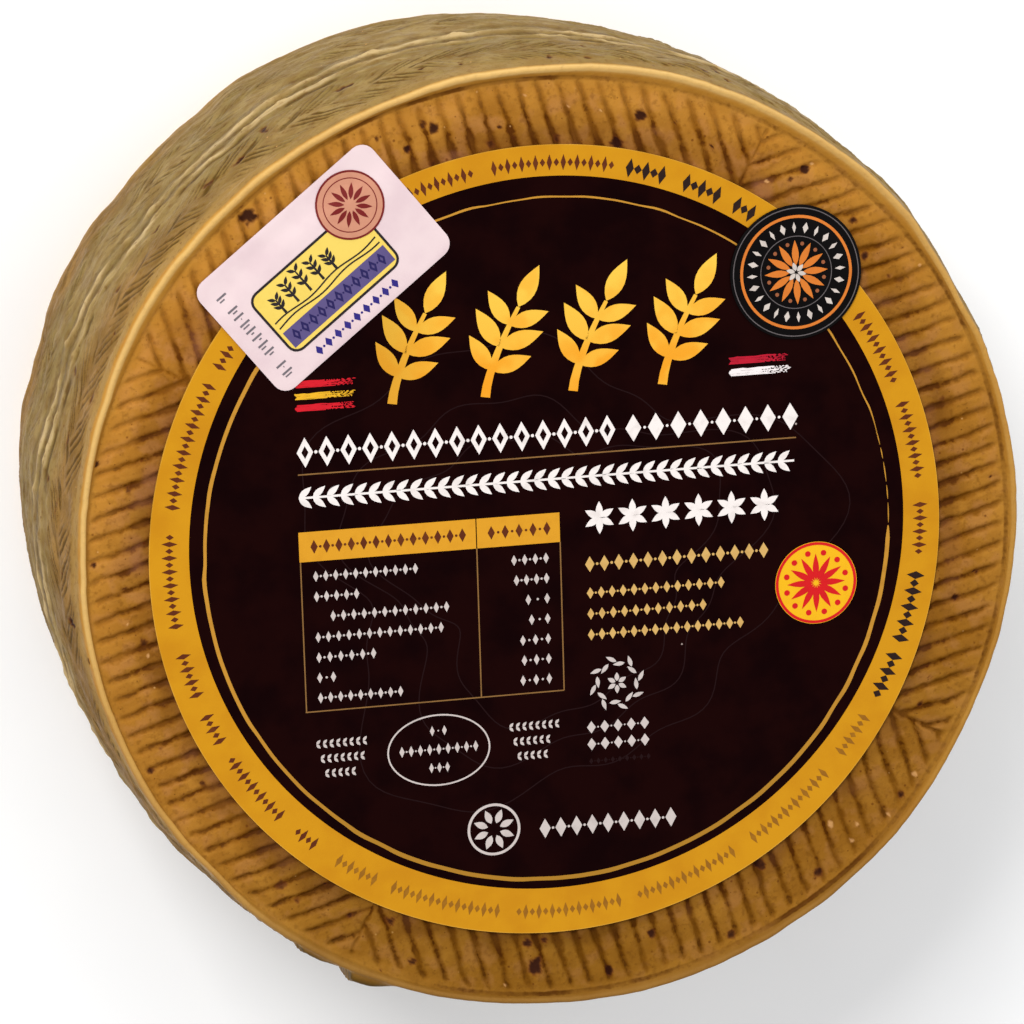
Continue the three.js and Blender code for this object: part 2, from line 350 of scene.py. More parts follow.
def strand_row(around_wall, depth, warp, top, bottom, slant, share):
    """Relief and painted shade of one row of slanted strands, which lie in overlapping leaves."""
    edge = depth + 0.7 * zigzag(around_wall, LEAF_PITCH)
    inside = smooth(top - 0.8, top + 0.8, edge) * (1 - smooth(bottom - 1.2, bottom + 1, edge))
    down = depth - top
    bow = 2.4 * (1 - np.exp(-np.clip(down, 0, None) / 2.5))
    slanted = around_wall - slant * (down + bow) + warp
    leaf = (slanted / LEAF_PITCH) % 1
    bundle = smooth(0.02, 0.14, leaf) * (1 - smooth(0.8, 0.96, leaf))
    thin = groove_shape(slanted, STRAND_PITCH, 1.15) * bundle
    return inside * share * (0.25 * bundle - 0.4 * thin), inside * share * thin


def crescents(around_wall, depth, top):
    """Curved hollows under a row of strands, one to each leaf."""
    part = 1 - (around_wall / LEAF_PITCH) % 1
    line = top + 7 * part**2
    return near_line(depth - line, 1.1) * smooth(0.05, 0.25, part) * (1 - smooth(0.55, 0.85, part))


def rope(around_wall, from_line, width):
    """A thin ridge that is twisted like a rope."""
    twist = 0.5 + 0.5 * np.cos(2 * math.pi * (around_wall - 1.4 * from_line) / KNOT_PITCH)
    return near_line(from_line, width) * (0.42 + 0.7 * twist)


def cord_lines(around_wall, ring):
    """Depths of the cords, which waver round the wall."""
    shiver = 0.35 * noise(ring, 2.4, 54)
    first = 0.4 * zigzag(around_wall, KNOT_PITCH) + 0.5 * noise(ring, 9, 34) + shiver
    second = 0.3 * zigzag(around_wall + 1, KNOT_PITCH) + 0.5 * noise(ring, 13, 35) - shiver
    third = 0.8 * zigzag(around_wall + 2, KNOT_PITCH) + 0.5 * noise(ring, 9, 46)
    return [level + change for level, change in zip(CORD_DEPTHS, (first, second, third))]


def cord_height(around_wall, depth, ring, cords):
    """Height of the cords, the first one frayed into two."""
    first, second, third = [depth - cord for cord in cords]
    fray = 1.1 + 0.5 * noise(ring, 7, 55)
    height = rope(around_wall, first + fray, 0.62) * (0.8 + 1.0 * noise(ring, 5, 36))
    height += rope(around_wall + 3, first - 0.8 * fray, 0.62) * (0.75 + 1.0 * noise(ring, 4, 56))
    height += rope(around_wall + 2.2, second, 1.1) * (0.85 + 0.9 * noise(ring, 3.6, 47))
    height += 0.55 * rope(around_wall + 4, third, 0.8) * (0.7 + 0.8 * noise(ring, 6, 49))
    return height * (0.9 + 0.5 * noise(ring, 1.7, 57))


def hollow_depth(around_wall, depth, ring, cords):
    """Depth of the crescents under the strands, and of the furrows beside the cords."""
    upper = np.clip(0.7 + 0.9 * noise(ring, 13, 40), 0.25, 0.85)
    lower = 0.55 * np.clip(0.5 + 1.1 * noise(ring, 11, 45), 0, 1)
    hollow = upper * crescents(around_wall, depth, CRESCENT_DEPTHS[0])
    hollow += lower * crescents(around_wall + 3, depth, CRESCENT_DEPTHS[1])
    hollow += 0.7 * near_line(depth - (cords[0] + cords[1]) / 2 - 0.2, 2.2)
    hollow += 0.6 * near_line(depth - cords[1] - 4.8, 2.2)
    broken = np.clip(0.6 + 1.2 * noise(ring, 4, 50), 0, 1)
    return hollow + broken * near_line(depth - cords[0] + 3.2, 1.6)


def wall_relief(angles, depth):
    """How far the plait stands off the wall, and the painted shade and painted highlight at each point."""
    around_wall = angles * ROUND_RADIUS
    ring = ring_points(angles, depth)
    warp = 0.9 * noise(ring, 14, 31) + 0.35 * noise(ring, 4, 32)
    strength = np.clip(0.85 + 0.95 * noise(ring, 7, 33), 0.15, 1.35)
    rows = [strand_row(around_wall, depth, warp, *row) for row in STRAND_ROWS]
    cords = cord_lines(around_wall, ring)
    height = cord_height(around_wall, depth, ring, cords)
    hollow = hollow_depth(around_wall + 1.5 * warp, depth, ring, cords)
    relief = sum(high for high, _ in rows) * strength + 0.38 * height - 0.26 * hollow
    relief += 0.24 * noise(ring, 9, 37) + 0.12 * noise(ring, 2.2, 38) + 0.4 * noise(ring, 33, 39)
    # Painted shade in the strands' grooves, in the crescents and in the furrows beside the cords
    dark = sum(deep for _, deep in rows) * strength + 0.75 * hollow
    # Painted highlight on the cords
    pale = 0.45 * near_line(depth - cords[0], 1.9) + 0.5 * near_line(depth - cords[1], 1.9)
    pale = (pale + 0.6 * height) * np.clip(0.85 + 0.8 * noise(ring, 6, 53), 0.25, 1.25)
    fade = smooth(3.5, 6.5, depth) * (1 - smooth(HEIGHT - 10, HEIGHT - 4, depth))
    return relief * fade, np.clip(dark, 0, 1.2) * fade, np.clip(pale, 0, 1.2) * fade


# Meshes

WELD_DISTANCE = 0.004
# Share of the weld distance that keeps round numbers off the limit between two cells
WELD_SHIFT = 0.137
SHARP_ANGLE = math.radians(40)


class Surface:
    """Grids of points with named values, joined into one surface."""

    def __init__(self):
        self.points = []
        self.quads = []
        self.values = []
        self.count = 0

    def grid(self, points, values, closed=False):
        """Adds rows by columns of points whose faces look along row cross column."""
        rows, columns = points.shape[:2]
        number = self.count + np.arange(rows * columns).reshape(rows, columns)
        left = number if closed else number[:, :-1]
        right = np.roll(number, -1, 1) if closed else number[:, 1:]
        self.quads.append(np.stack([left[:-1], left[1:], right[1:], right[:-1]], -1).reshape(-1, 4))
        self.points.append(points.reshape(-1, 3))
        self.values.append({name: np.asarray(value).ravel() for name, value in values.items()})
        self.count += rows * columns

    def joined(self):
        """Points, quads, triangles and values, with points at one place made one."""
        points = np.concatenate(self.points)
        quads = np.concatenate(self.quads)
        names = sorted({name for values in self.values for name in values})
        table = {name: np.concatenate([values.get(name, np.zeros(len(part)))
                                       for values, part in zip(self.values, self.points)])
                 for name in names}
        keys = np.round(points / WELD_DISTANCE + WELD_SHIFT).astype(np.int64)
        _, first, number = np.unique(keys, axis=0, return_index=True, return_inverse=True)
        quads = number.ravel()[quads]
        repeated = quads == np.roll(quads, -1, 1)
        whole = quads[repeated.sum(1) == 0]
        pinched = quads[repeated.sum(1) == 1]
        triangles = pinched[~(pinched == np.roll(pinched, -1, 1))].reshape(-1, 3)
        crossed = (whole[:, 0] == whole[:, 2]) | (whole[:, 1] == whole[:, 3])
        return points[first], [whole[~crossed], triangles], {name: table[name][first] for name in names}


def add_object(name, data):
    made = bpy.data.objects.new(name, data)
    bpy.context.scene.collection.objects.link(made)
    return made


def build_mesh(name, points, face_groups, values=None, face_materials=None, is_smooth=True):
    """A mesh object from points in millimetres and arrays of equally long faces."""
    mesh = bpy.data.meshes.new(name)
    sizes = np.concatenate([np.full(len(group), group.shape[1]) for group in face_groups if len(group)])
    corners = np.concatenate([group.ravel() for group in face_groups if len(group)]).astype(np.int32)
    mesh.vertices.add(len(points))
    mesh.vertices.foreach_set("co", (np.asarray(points) * MM).astype(np.float32).ravel())
    mesh.loops.add(len(corners))
    mesh.loops.foreach_set("vertex_index", corners)
    mesh.polygons.add(len(sizes))
    mesh.polygons.foreach_set("loop_start", np.concatenate([[0], np.cumsum(sizes)[:-1]]).astype(np.int32))
    mesh.polygons.foreach_set("use_smooth", np.full(len(sizes), is_smooth))
    if face_materials is not None:
        mesh.polygons.foreach_set("material_index", np.asarray(face_materials, np.int32))
    for key, value in (values or {}).items():
        mesh.attributes.new(key, "FLOAT", "POINT").data.foreach_set("value", value.astype(np.float32))
    mesh.update(calc_edges=True)
    return add_object(name, mesh)


def ring_solid(name, rings, face_materials=None):
    """A flat solid from rings that run from its middle out over the top, and back to the middle below."""
    surface = Surface()
    surface.grid(rings, {}, closed=True)
    number = np.arange(rings.shape[0] * rings.shape[1]).reshape(rings.shape[:2])
    caps = np.array([number[0], number[-1, ::-1]])
    made = build_mesh(name, surface.points[0], [surface.quads[0], caps], face_materials=face_materials)
    made.data.set_sharp_from_angle(angle=SHARP_ANGLE)
    return made


def make_piece(made, node, slot, looks):
    """Gives a finished mesh its looks and its place in the frame."""
    for look in looks:
        made.data.materials.append(look)
    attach(made, "root")
    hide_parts(node)
    return made


# The wheel

# Depth that each band of the wall's rows ends at, and the height of a row
WALL_STEPS = [(30, 0.5), (45, 0.55), (HEIGHT - 7, 0.68)]
# Radius and depth down the lip and round the foot's edge
LIP_PROFILE = [(FIELD_RADIUS, CHANNEL_DEPTH), (98.0, 1.3), (98.35, 0.8), (98.75, 0.28), (99.15, 0.0),
               (99.55, 0.1), (99.95, 0.7), (100.2, 1.8), (100.5, 3.5), (100.8, 5.5)]
FOOT_PROFILE = [(101.2, HEIGHT - 7), (100.9, HEIGHT - 3.6), (100.4, HEIGHT - 1.2), (99.8, HEIGHT - 0.1),
                (99.2, HEIGHT), (98.6, HEIGHT - 0.3), (98.1, HEIGHT - 1.3),
                (FIELD_RADIUS, HEIGHT - CHANNEL_DEPTH)]
LIP_STEPS, FOOT_STEPS = 24, 18
# Radius that each band of a face's rows ends at, and its number of rows
TOP_BANDS = [(82, 6), (FIELD_RADIUS - 0.7, 27), (FIELD_RADIUS, 2)]
LOWER_BANDS = [(90, 18), (FIELD_RADIUS, 8)]


def curve_through(controls, steps):
    """A smooth curve through controls, in about the given number of even steps."""
    controls = np.array(controls, float)
    ends = np.vstack([2 * controls[0] - controls[1], controls, 2 * controls[-1] - controls[-2]])
    lengths = np.hypot(*np.diff(controls, axis=0).T)
    curve = []
    for index, length in enumerate(lengths):
        before, start, end, after = ends[index : index + 4]
        count = max(1, round(steps * length / lengths.sum()))
        for part in np.arange(count) / count:
            curve.append(0.5 * (2 * start + (end - before) * part
                                + (2 * before - 5 * start + 4 * end - after) * part**2
                                + (3 * start - before - 3 * end + after) * part**3))
    return np.array(curve + [controls[-1]])


def grime_and_lip_light(x, y):
    """Grime and pinkish bloom beside the label, and painted light by the lip, strongest on the upper side.
    """
    points = np.stack([x, y], -1)
    from_label = label_distance(x, y) - LABEL_RADIUS
    upper = smooth(-60, 60, y - 0.2 * x)
    reach = 5.5 + 2.5 * upper
    grime = 1 - smooth(0.1 * reach, reach, from_label + 2 * noise(points, 5, 81))
    bloom = 1 - smooth(0, 8, from_label + 3 * noise(points, 3, 84))
    bloom *= smooth(0.1, 0.7, noise(points, 5, 83)) * (0.35 + 0.65 * upper)
    # Painted light: paler by the lip, most on the upper side where the light falls
    glow = smooth(89, 95.5, np.hypot(x, y) + 1.5 * noise(points, 7, 86)) * (0.2 + 0.8 * upper)
    grime = np.clip(grime * (0.75 + 0.5 * noise(points, 9, 82)), 0, 1)
    return {"grime": grime, "bloom": bloom, "glow": glow}


def lip_share(radius):
    """How much a point takes the lip's waxy colour, which runs out over the ends of the ribs."""
    return 0.4 * lip_step(radius, -2.1, 0) + 0.6 * lip_step(radius, 0, 0.9)


def face_values(x, y, gap):
    """The named values that both faces have."""
    radius = np.hypot(x, y)
    turn = np.arctan2(y, x)
    # Painted shade round the wheel, and the line at the lip's foot with painted shade in its channel
    return {"gap": gap, "channel": lip_step(radius, -1.0, -0.2) * around(turn, FOOT_SHADE),
            "dusk": around(turn, PAINTED_SHADE_ROUND), "lip": lip_share(radius)}


def face_points(x, y, depth, is_top):
    """Points of a face that meet the side at its rim, where the ribs stray with the lip's foot."""
    radius = np.hypot(x, y)
    depth = np.where(radius > FIELD_RADIUS - 0.01, CHANNEL_DEPTH, depth)
    reach = 1 + foot_stray(np.arctan2(y, x), radius) / np.maximum(radius, 1)
    return np.stack([x * reach, y * reach, HEIGHT - depth if is_top else depth], -1)


def add_top_face(surface):
    marks = [(x, y, 0.6 * size, 0.6 * size, strength) for x, y, size, strength in FACE_MARKS]
    specks = [(x, y, 0.5 * size, 0.5 * size, 1) for x, y, size in FACE_SPECKS]
    for x, y in field_grids(TOP_BANDS):
        depth, gap = face_depth(x, y, 51)
        spot = spots(x, y, marks, 61)
        speck = spots(x, y, specks, 64)
        stains_and_lip_light = grime_and_lip_light(x, y)
        values = {"spot": spot, "speck": speck, **stains_and_lip_light, **face_values(x, y, gap - 0.2 * stains_and_lip_light["grime"])}
        surface.grid(face_points(x, y, depth + 0.3 * spot - 0.15 * speck, True), values)


def add_lower_face(surface):
    """The lower face, plain of marks, with its columns turned round so that it looks down."""
    for x, y in field_grids(LOWER_BANDS):
        depth, gap = face_depth(x, y, 71)
        values = {name: value[:, ::-1] for name, value in face_values(x, y, gap).items()}
        surface.grid(face_points(x, y, depth, False)[:, ::-1], values)


def side_line():
    """Radius and depth of points down the lip, the wall and the foot's edge."""
    depths = [LIP_PROFILE[-1][1]]
    for end, step in WALL_STEPS:
        depths += list(np.arange(depths[-1] + step, end, step))
    depths = np.array(depths[1:])
    wall = np.stack([EDGE_RADIUS + WALL_BULGE * (1 - (2 * depths / HEIGHT - 1) ** 2), depths], -1)
    return np.vstack([curve_through(LIP_PROFILE, LIP_STEPS), wall, curve_through(FOOT_PROFILE, FOOT_STEPS)])


def side_tones(turn, radius, depth, outside):
    """The named values of the side that say where its colours, painted shade and painted highlight are."""
    from_rim = np.minimum(depth, HEIGHT - depth)
    over_lip = lip_step(radius, 0.1, 0.5)
    # Painted shade round the wheel: the face's list below the lip and the lip's list over it
    dusk = around(turn, PAINTED_SHADE_ROUND) * (1 - over_lip) + around(turn, LIP_PAINTED_SHADE_ROUND) * over_lip
    flank = from_rim + 1.2 * noise(ring_points(turn, depth), 6, 85)
    khaki = around(turn, KHAKI)
    # Painted highlight along the lip's crest
    crest = near_line(from_rim - 0.15 - 0.15 * khaki, 0.5 + 0.1 * khaki) * lip_step(radius, 0.7, 1.2)
    faded = outside * smooth(1.2 - 0.7 * khaki, 2.8 - 1.3 * khaki, from_rim)
    return {"wall": outside * smooth(0.2, 0.8, from_rim), "lip": lip_share(radius) * (1 - faded),
            "flank": (1 - smooth(4.2, 7.5, flank)) * (1 - 0.7 * khaki),
            "low": np.clip(smooth(15, 30, flank) + khaki, 0, 1), "crest": crest * around(turn, CREST_PAINTED_HIGHLIGHT),
            "channel": (1 - lip_step(radius, 0.1, 0.7)) * around(turn, FOOT_SHADE),
            "gap": np.ones(turn.shape), "dusk": dusk * (1 - smooth(1, 4, from_rim))}


def add_side(surface):
    """The lip, the wall and the foot's edge."""
    line = side_line()
    turn, radius = np.meshgrid(column_angles(), line[:, 0])
    depth = np.meshgrid(column_angles(), line[:, 1])[1]
    ring = ring_points(turn, depth)
    outside = lip_step(radius, 1.3, 1.9)
    relief, strand, pale = wall_relief(turn, depth)
    marks = [(math.radians(angle) * ROUND_RADIUS, *rest) for angle, *rest in WALL_MARKS]
    spot = outside * spots(turn % (2 * math.pi) * ROUND_RADIUS, depth, marks, 66)
    swell = outside * swell_height(turn, depth)
    ripple = 0.3 * noise(ring, 24, 44) + 0.16 * noise(ring, 6, 41) + 0.08 * noise(ring, 2, 42)
    on_rim = lip_step(radius, 0.1, 1.2)
    stray = (outline_stray(turn, depth) + ripple) * on_rim + foot_stray(turn, radius) * (1 - on_rim)
    out = radius + relief + stray + swell - 0.4 * spot
    on_lip = lip_step(radius, 0.1, 1.1) * (1 - smooth(1, 4, depth))
    z = HEIGHT - depth + 0.2 * noise(ring, 19, 43) * on_lip
    # Painted shade on the swells under the lip, added to the plait's
    values = {"strand": strand + smooth(0, 0.5, swell) * (1 - smooth(3.5, 7, depth)), "pale": pale,
              "spot": spot, **side_tones(turn, radius, depth, outside)}
    surface.grid(np.stack([out * np.cos(turn), out * np.sin(turn), z], -1), values, closed=True)


def wheel_piece():
    surface = Surface()
    add_top_face(surface)
    add_lower_face(surface)
    add_side(surface)
    points, faces, values = surface.joined()
    made = build_mesh("cheese_rind", points, faces, values)
    return make_piece(made, "cheese_wheel", "rind", [rind_look()])


# Materials

def srgb(red, green, blue):
    """Display values from 0 to 255 as Blender's linear colour."""
    values = [channel / 255 for channel in (red, green, blue)]
    return [v / 12.92 if v <= 0.04045 else ((v + 0.055) / 1.055) ** 2.4 for v in values] + [1.0]


class Look:
    """A Principled material whose nodes are added by short calls."""

    def __init__(self, name):
        self.material = bpy.data.materials.new(name)
        self.material.use_nodes = True
        self.tree = self.material.node_tree
        self.shader = self.tree.nodes["Principled BSDF"]
        self.place = self.tree.nodes.new("ShaderNodeTexCoord").outputs["Object"]

    def feed(self, socket, value):
        if isinstance(value, bpy.types.NodeSocket):
            self.tree.links.new(value, socket)
        else:
            socket.default_value = value

    def set(self, **inputs):
        """Feeds the shader's inputs, named with underscores for spaces."""
        for name, value in inputs.items():
            self.feed(self.shader.inputs[name.replace("_", " ")], value)

    def node(self, kind, inputs, **settings):
        """A new node with its settings, and its inputs fed by number or name."""
        made = self.tree.nodes.new(kind)
        for name, value in settings.items():
            setattr(made, name, value)
        for socket, value in inputs.items():
            self.feed(made.inputs[socket], value)
        return made

    def mix(self, factor, first, second, blend="MIX"):
        inputs = {0: factor, 6: first, 7: second}
        return self.node("ShaderNodeMix", inputs, data_type="RGBA", blend_type=blend).outputs[2]

    def tones(self, share, first, second):
        """A colour between two display tones."""
        return self.mix(share, srgb(*first), srgb(*second))

    def tint(self, colour, share, tone, most=None):
        """The colour with a display tone laid over it by share, or by share times most."""
        if most is not None:
            share = self.math("MULTIPLY", share, most)
        return self.mix(share, colour, srgb(*tone))

    def math(self, operation, first, second):
        return self.node("ShaderNodeMath", {0: first, 1: second}, operation=operation).outputs[0]

    def sway(self, value, amount):
        """A value from 0 to 1 made to sway about 0."""
        return self.math("MULTIPLY", self.math("SUBTRACT", value, 0.5), amount)

    def ramp(self, value, low, high, to_low=0.0, to_high=1.0):
        """A smooth step from to_low, below low, to to_high, above high."""
        inputs = dict(enumerate((value, low, high, to_low, to_high)))
        return self.node("ShaderNodeMapRange", inputs, interpolation_type="SMOOTHSTEP").outputs[0]

    def noise(self, size, detail=3.0):
        """Noise from 0 to 1 with features about size millimetres across."""
        inputs = {"Vector": self.place, "Scale": 1 / (size * MM), "Detail": detail}
        return self.node("ShaderNodeTexNoise", inputs).outputs[0]

    def dots(self, spacing, radius, share):
        """1 inside small round dots set about spacing apart, in a share of the places."""
        cells = self.node("ShaderNodeTexVoronoi", {"Vector": self.place, "Scale": 1 / (spacing * MM)})
        inside = self.ramp(cells.outputs["Distance"], radius / spacing, 0.4 * radius / spacing)
        chance = self.node("ShaderNodeSeparateColor", {0: cells.outputs["Color"]}).outputs[0]
        return self.math("MULTIPLY", inside, self.math("LESS_THAN", chance, share))

    def attribute(self, name):
        return self.node("ShaderNodeAttribute", {}, attribute_name=name).outputs["Fac"]

    def axis(self, name):
        """The X, Y or Z of the place, in metres."""
        return self.node("ShaderNodeSeparateXYZ", {0: self.place}).outputs[name]

    def bump(self, height, distance, before=None):
        """The normal of a height from 0 to 1 that stands for distance millimetres."""
        inputs = {"Distance": distance * MM, "Height": height}
        if before is not None:
            inputs["Normal"] = before
        return self.node("ShaderNodeBump", inputs).outputs[0]


# Colours of the painted shade, which multiply the top face and the lip
FACE_PAINTED_SHADE = (0.58, 0.6, 0.42, 1)
LIP_PAINTED_SHADE = (0.58, 0.59, 0.75, 1)
# Dots in the rind: spacing, radius, share of the places and display tone
RIND_DOTS = [(2.6, 0.4, 0.28, (86, 34, 8)), (1.3, 0.22, 0.2, (78, 36, 6)), (3.4, 0.3, 0.2, (200, 152, 96))]


def rind_look():
    """Rind whose named values say where it is rib, lip or wall, where it is stained and where light is
    painted.
    """
    look = Look("waxy_ribbed_rind")
    broad = look.ramp(look.noise(15), 0.35, 0.65)
    patch = look.ramp(look.noise(4.5, 4), 0.38, 0.62)
    fine = look.noise(1.1, 4)
    ribs = rib_colour_and_lip_light(look, broad, patch, fine)
    colour = look.mix(look.attribute("wall"), ribs, plait_colour_and_painted_light(look, broad, patch, fine))
    colour = look.tint(colour, look.ramp(fine, 0.5, 0.72, 0.0, 0.3), (98, 58, 10))
    for spacing, radius, share, tone in RIND_DOTS:
        colour = look.tint(colour, look.dots(spacing, radius, share), tone, 0.6)
    # The lip's own yellow, with the painted highlight on its crest
    colour = look.mix(look.attribute("lip"), colour, lip_colour_and_highlight(look, broad, patch))
    # The dark line at the lip's foot, partly painted shade in the channel
    colour = look.tint(colour, foot_line_and_painted_shade(look, fine), (88, 46, 6))
    # Painted shade, darker round the side where less light falls
    shade = look.mix(look.attribute("lip"), FACE_PAINTED_SHADE, LIP_PAINTED_SHADE)
    colour = stained_colour(look, look.mix(look.attribute("dusk"), colour, shade, "MULTIPLY"), fine)
    grain = look.math("MULTIPLY", look.noise(0.45, 2), 0.3)
    height = look.math("ADD", look.math("MULTIPLY", fine, 0.7), grain)
    look.set(Base_Color=colour, Roughness=look.ramp(look.noise(5, 4), 0.3, 0.7, 0.36, 0.6),
             Normal=look.bump(height, 0.2), Specular_IOR_Level=0.02, Subsurface_Weight=0.03,
             Subsurface_Radius=(1.0, 0.55, 0.25), Subsurface_Scale=0.0015)
    return look.material


def rib_colour_and_lip_light(look, broad, patch, fine):
    """Tan ribs, pinkish in places, with ragged brown lines between them and painted light by the lip."""
    colour = look.tones(broad, (168, 115, 44), (152, 100, 33))
    colour = look.tint(colour, patch, (132, 83, 24), 0.4)
    colour = look.tint(colour, look.ramp(look.noise(5, 3), 0.48, 0.64, 0.0, 0.55), (168, 114, 64))
    gap = look.math("ADD", look.attribute("gap"), look.sway(fine, 0.7))
    gap = look.math("ADD", gap, look.sway(look.noise(3.2, 3), 0.6))
    colour = look.tint(colour, look.ramp(gap, 0.5, 0.1, 0.0, 0.75), (122, 72, 5))
    broken = look.ramp(look.noise(6, 2), 0.35, 0.6, 0.25, 0.85)
    colour = look.tint(colour, look.math("MULTIPLY", look.ramp(gap, 0.24, 0.0), broken), (72, 30, 2))
    # Painted light by the lip
    colour = look.tint(colour, look.attribute("glow"), (200, 140, 58), 0.4)
    colour = look.tint(colour, look.attribute("grime"), (88, 50, 18), 0.45)
    return look.tint(colour, look.attribute("bloom"), (150, 98, 76), 0.35)


def plait_colour_and_painted_light(look, broad, patch, fine):
    """Brown wall under the lip, khaki below, with painted shade in the plait and painted highlights on the
    cords.
    """
    brown = look.tones(broad, (144, 108, 56), (124, 92, 43))
    khaki = look.tones(broad, (142, 118, 70), (126, 104, 56))
    colour = look.mix(look.attribute("low"), brown, khaki)
    colour = look.tint(colour, patch, (110, 80, 34), 0.5)
    colour = look.tint(colour, look.attribute("flank"), (150, 117, 62))
    strand = look.math("ADD", look.attribute("strand"), look.sway(fine, 0.5))
    # Painted shade in the plait's grooves and hollows and on the swells under the lip
    colour = look.tint(colour, look.ramp(strand, 0.1, 0.8, 0.0, 0.85), (74, 52, 12))
    # Painted highlight on the cords
    return look.tint(colour, look.ramp(look.attribute("pale"), 0.05, 1.0, 0.0, 0.85), (188, 162, 116))


def lip_colour_and_highlight(look, broad, patch):
    """The lip's yellow, with a painted highlight on its crest."""
    colour = look.tones(broad, (178, 128, 50), (168, 117, 41))
    colour = look.tint(colour, patch, (160, 108, 36), 0.3)
    return look.tint(colour, look.attribute("crest"), (212, 178, 114), 0.8)


def foot_line_and_painted_shade(look, fine):
    """How strongly the ragged dark line at the lip's foot shows, with painted shade in its channel."""
    foot = look.math("ADD", look.attribute("channel"), look.sway(fine, 0.7))
    broken = look.ramp(look.noise(10, 3), 0.4, 0.6, 0.35, 0.9)
    return look.math("MULTIPLY", look.ramp(foot, 0.2, 0.9), broken)


def stained_colour(look, colour, fine):
    """The colour under brown stains with dark cores, and pale specks."""
    spot = look.math("ADD", look.attribute("spot"), look.sway(fine, 0.6))
    colour = look.tint(colour, look.ramp(spot, 0.0, 0.5, 0.0, 0.65), (96, 48, 20))
    colour = look.tint(colour, look.ramp(spot, 0.25, 0.85, 0.0, 0.92), (42, 18, 14))
    return look.tint(colour, look.ramp(look.attribute("speck"), 0.1, 0.9, 0.0, 0.65), (204, 154, 100))


def ink_look(name, tone, worn, specular=0.2):
    """Printed ink of one colour that is a little uneven."""
    look = Look(name)
    uneven = look.ramp(look.noise(2.2, 4), 0.45, 0.7, 0.0, 0.35)
    look.set(Base_Color=look.tones(uneven, tone, worn), Roughness=0.42, Specular_IOR_Level=specular,
             Normal=look.bump(look.noise(0.6, 2), 0.012))
    return look.material


def gold_ink_look():
    """Yellow ink that turns orange down the label and in loose washes."""
    look = Look("gold_gradient_ink")
    down = look.ramp(look.axis("Y"), 0.060, 0.030)
    wash = look.math("MULTIPLY", look.ramp(look.noise(7, 2), 0.42, 0.62), 0.6)
    share = look.math("MULTIPLY", look.math("ADD", down, wash), 0.65)
    colour = look.tones(share, (226, 184, 66), (222, 146, 22))
    colour = look.tint(colour, look.ramp(look.axis("X"), -0.02, -0.036, 0.0, 0.5), (176, 124, 18))
    look.set(Base_Color=colour, Roughness=0.4, Specular_IOR_Level=0.2,
             Normal=look.bump(look.noise(0.6, 2), 0.012))
    return look.material


def gold_line_look():
    """Dull gold ink that is darker low on the label."""
    look = Look("gold_line_ink")
    worn = look.ramp(look.noise(2.2, 4), 0.45, 0.7, 0.0, 0.35)
    colour = look.tones(worn, (180, 128, 40), (148, 100, 26))
    colour = look.tint(colour, look.ramp(look.axis("Y"), -0.02, -0.066, 0.0, 0.8), (152, 108, 26))
    look.set(Base_Color=colour, Roughness=0.42, Specular_IOR_Level=0.2)
    return look.material


def paper_look(name, tone, mottled, specular, roughness=0.4):
    """Glossy label paper with faint mottling, a slow wave and a few grains of dust."""
    look = Look(name)
    base = look.tones(look.ramp(look.noise(9, 4), 0.35, 0.7), tone, mottled)
    base = look.tint(base, look.dots(13, 0.3, 0.3), (176, 160, 156))
    wave = look.bump(look.noise(22, 1), 0.25)
    look.set(Base_Color=base, Roughness=roughness, Specular_IOR_Level=specular,
             Normal=look.bump(look.noise(0.5, 2), 0.01, wave))
    return look.material


# The sheets: the large label, and two small stickers half on it and half on the ribs

DARK_OFFSET = np.array([0.2, 1.7])
DARK_RADIUS = 76.0
LABEL_SEGMENTS = 240
# The label's underside has one ring for this many on its top
UNDERSIDE_STEP = 6
STICKER_THICKNESS = 0.34
EDGE_DROP = 0.06
# Level of the ribs' highest crests
CREST_TOP = HEIGHT - CREST_DEPTH + 0.26


def label_height(x, y):
    """Height of the label's upper side, which waves very slightly."""
    points = np.stack([x, y], -1)
    rim = smooth(78, 84, label_distance(x, y))
    return LABEL_TOP + 0.05 * noise(points, 42, 91) + 0.12 * rim * noise(points, 26, 92)


def label_place(points):
    """From the label's own axes to the frame."""
    flat = np.asarray(points, float) + LABEL_CENTRE
    return raised(flat, label_height(flat[..., 0], flat[..., 1]))


def sticker_underside(x, y):
    """The level that a small sticker lies on, stepping down off the label's edge."""
    on_label = 1 - smooth(0.3, 4.5, label_distance(x, y) - LABEL_RADIUS)
    return (label_height(x, y) + 0.1) * on_label + CREST_TOP * (1 - on_label)


def sticker_place(centre, turn):
    """The way from a small sticker's own axes to the frame."""
    def place(points):
        flat = turned(np.asarray(points, float), turn) + centre
        return raised(flat, sticker_underside(flat[..., 0], flat[..., 1]) + STICKER_THICKNESS)
    return place


Sheet = namedtuple("Sheet", "node slot place")
LABEL = Sheet("label_disc", "label", label_place)
CARD = Sheet("label_card", "card", sticker_place(CARD_CENTRE, CARD_TURN))
ROUNDEL = Sheet("label_roundel", "roundel", sticker_place(ROUNDEL_CENTRE, ROUNDEL_TURN))


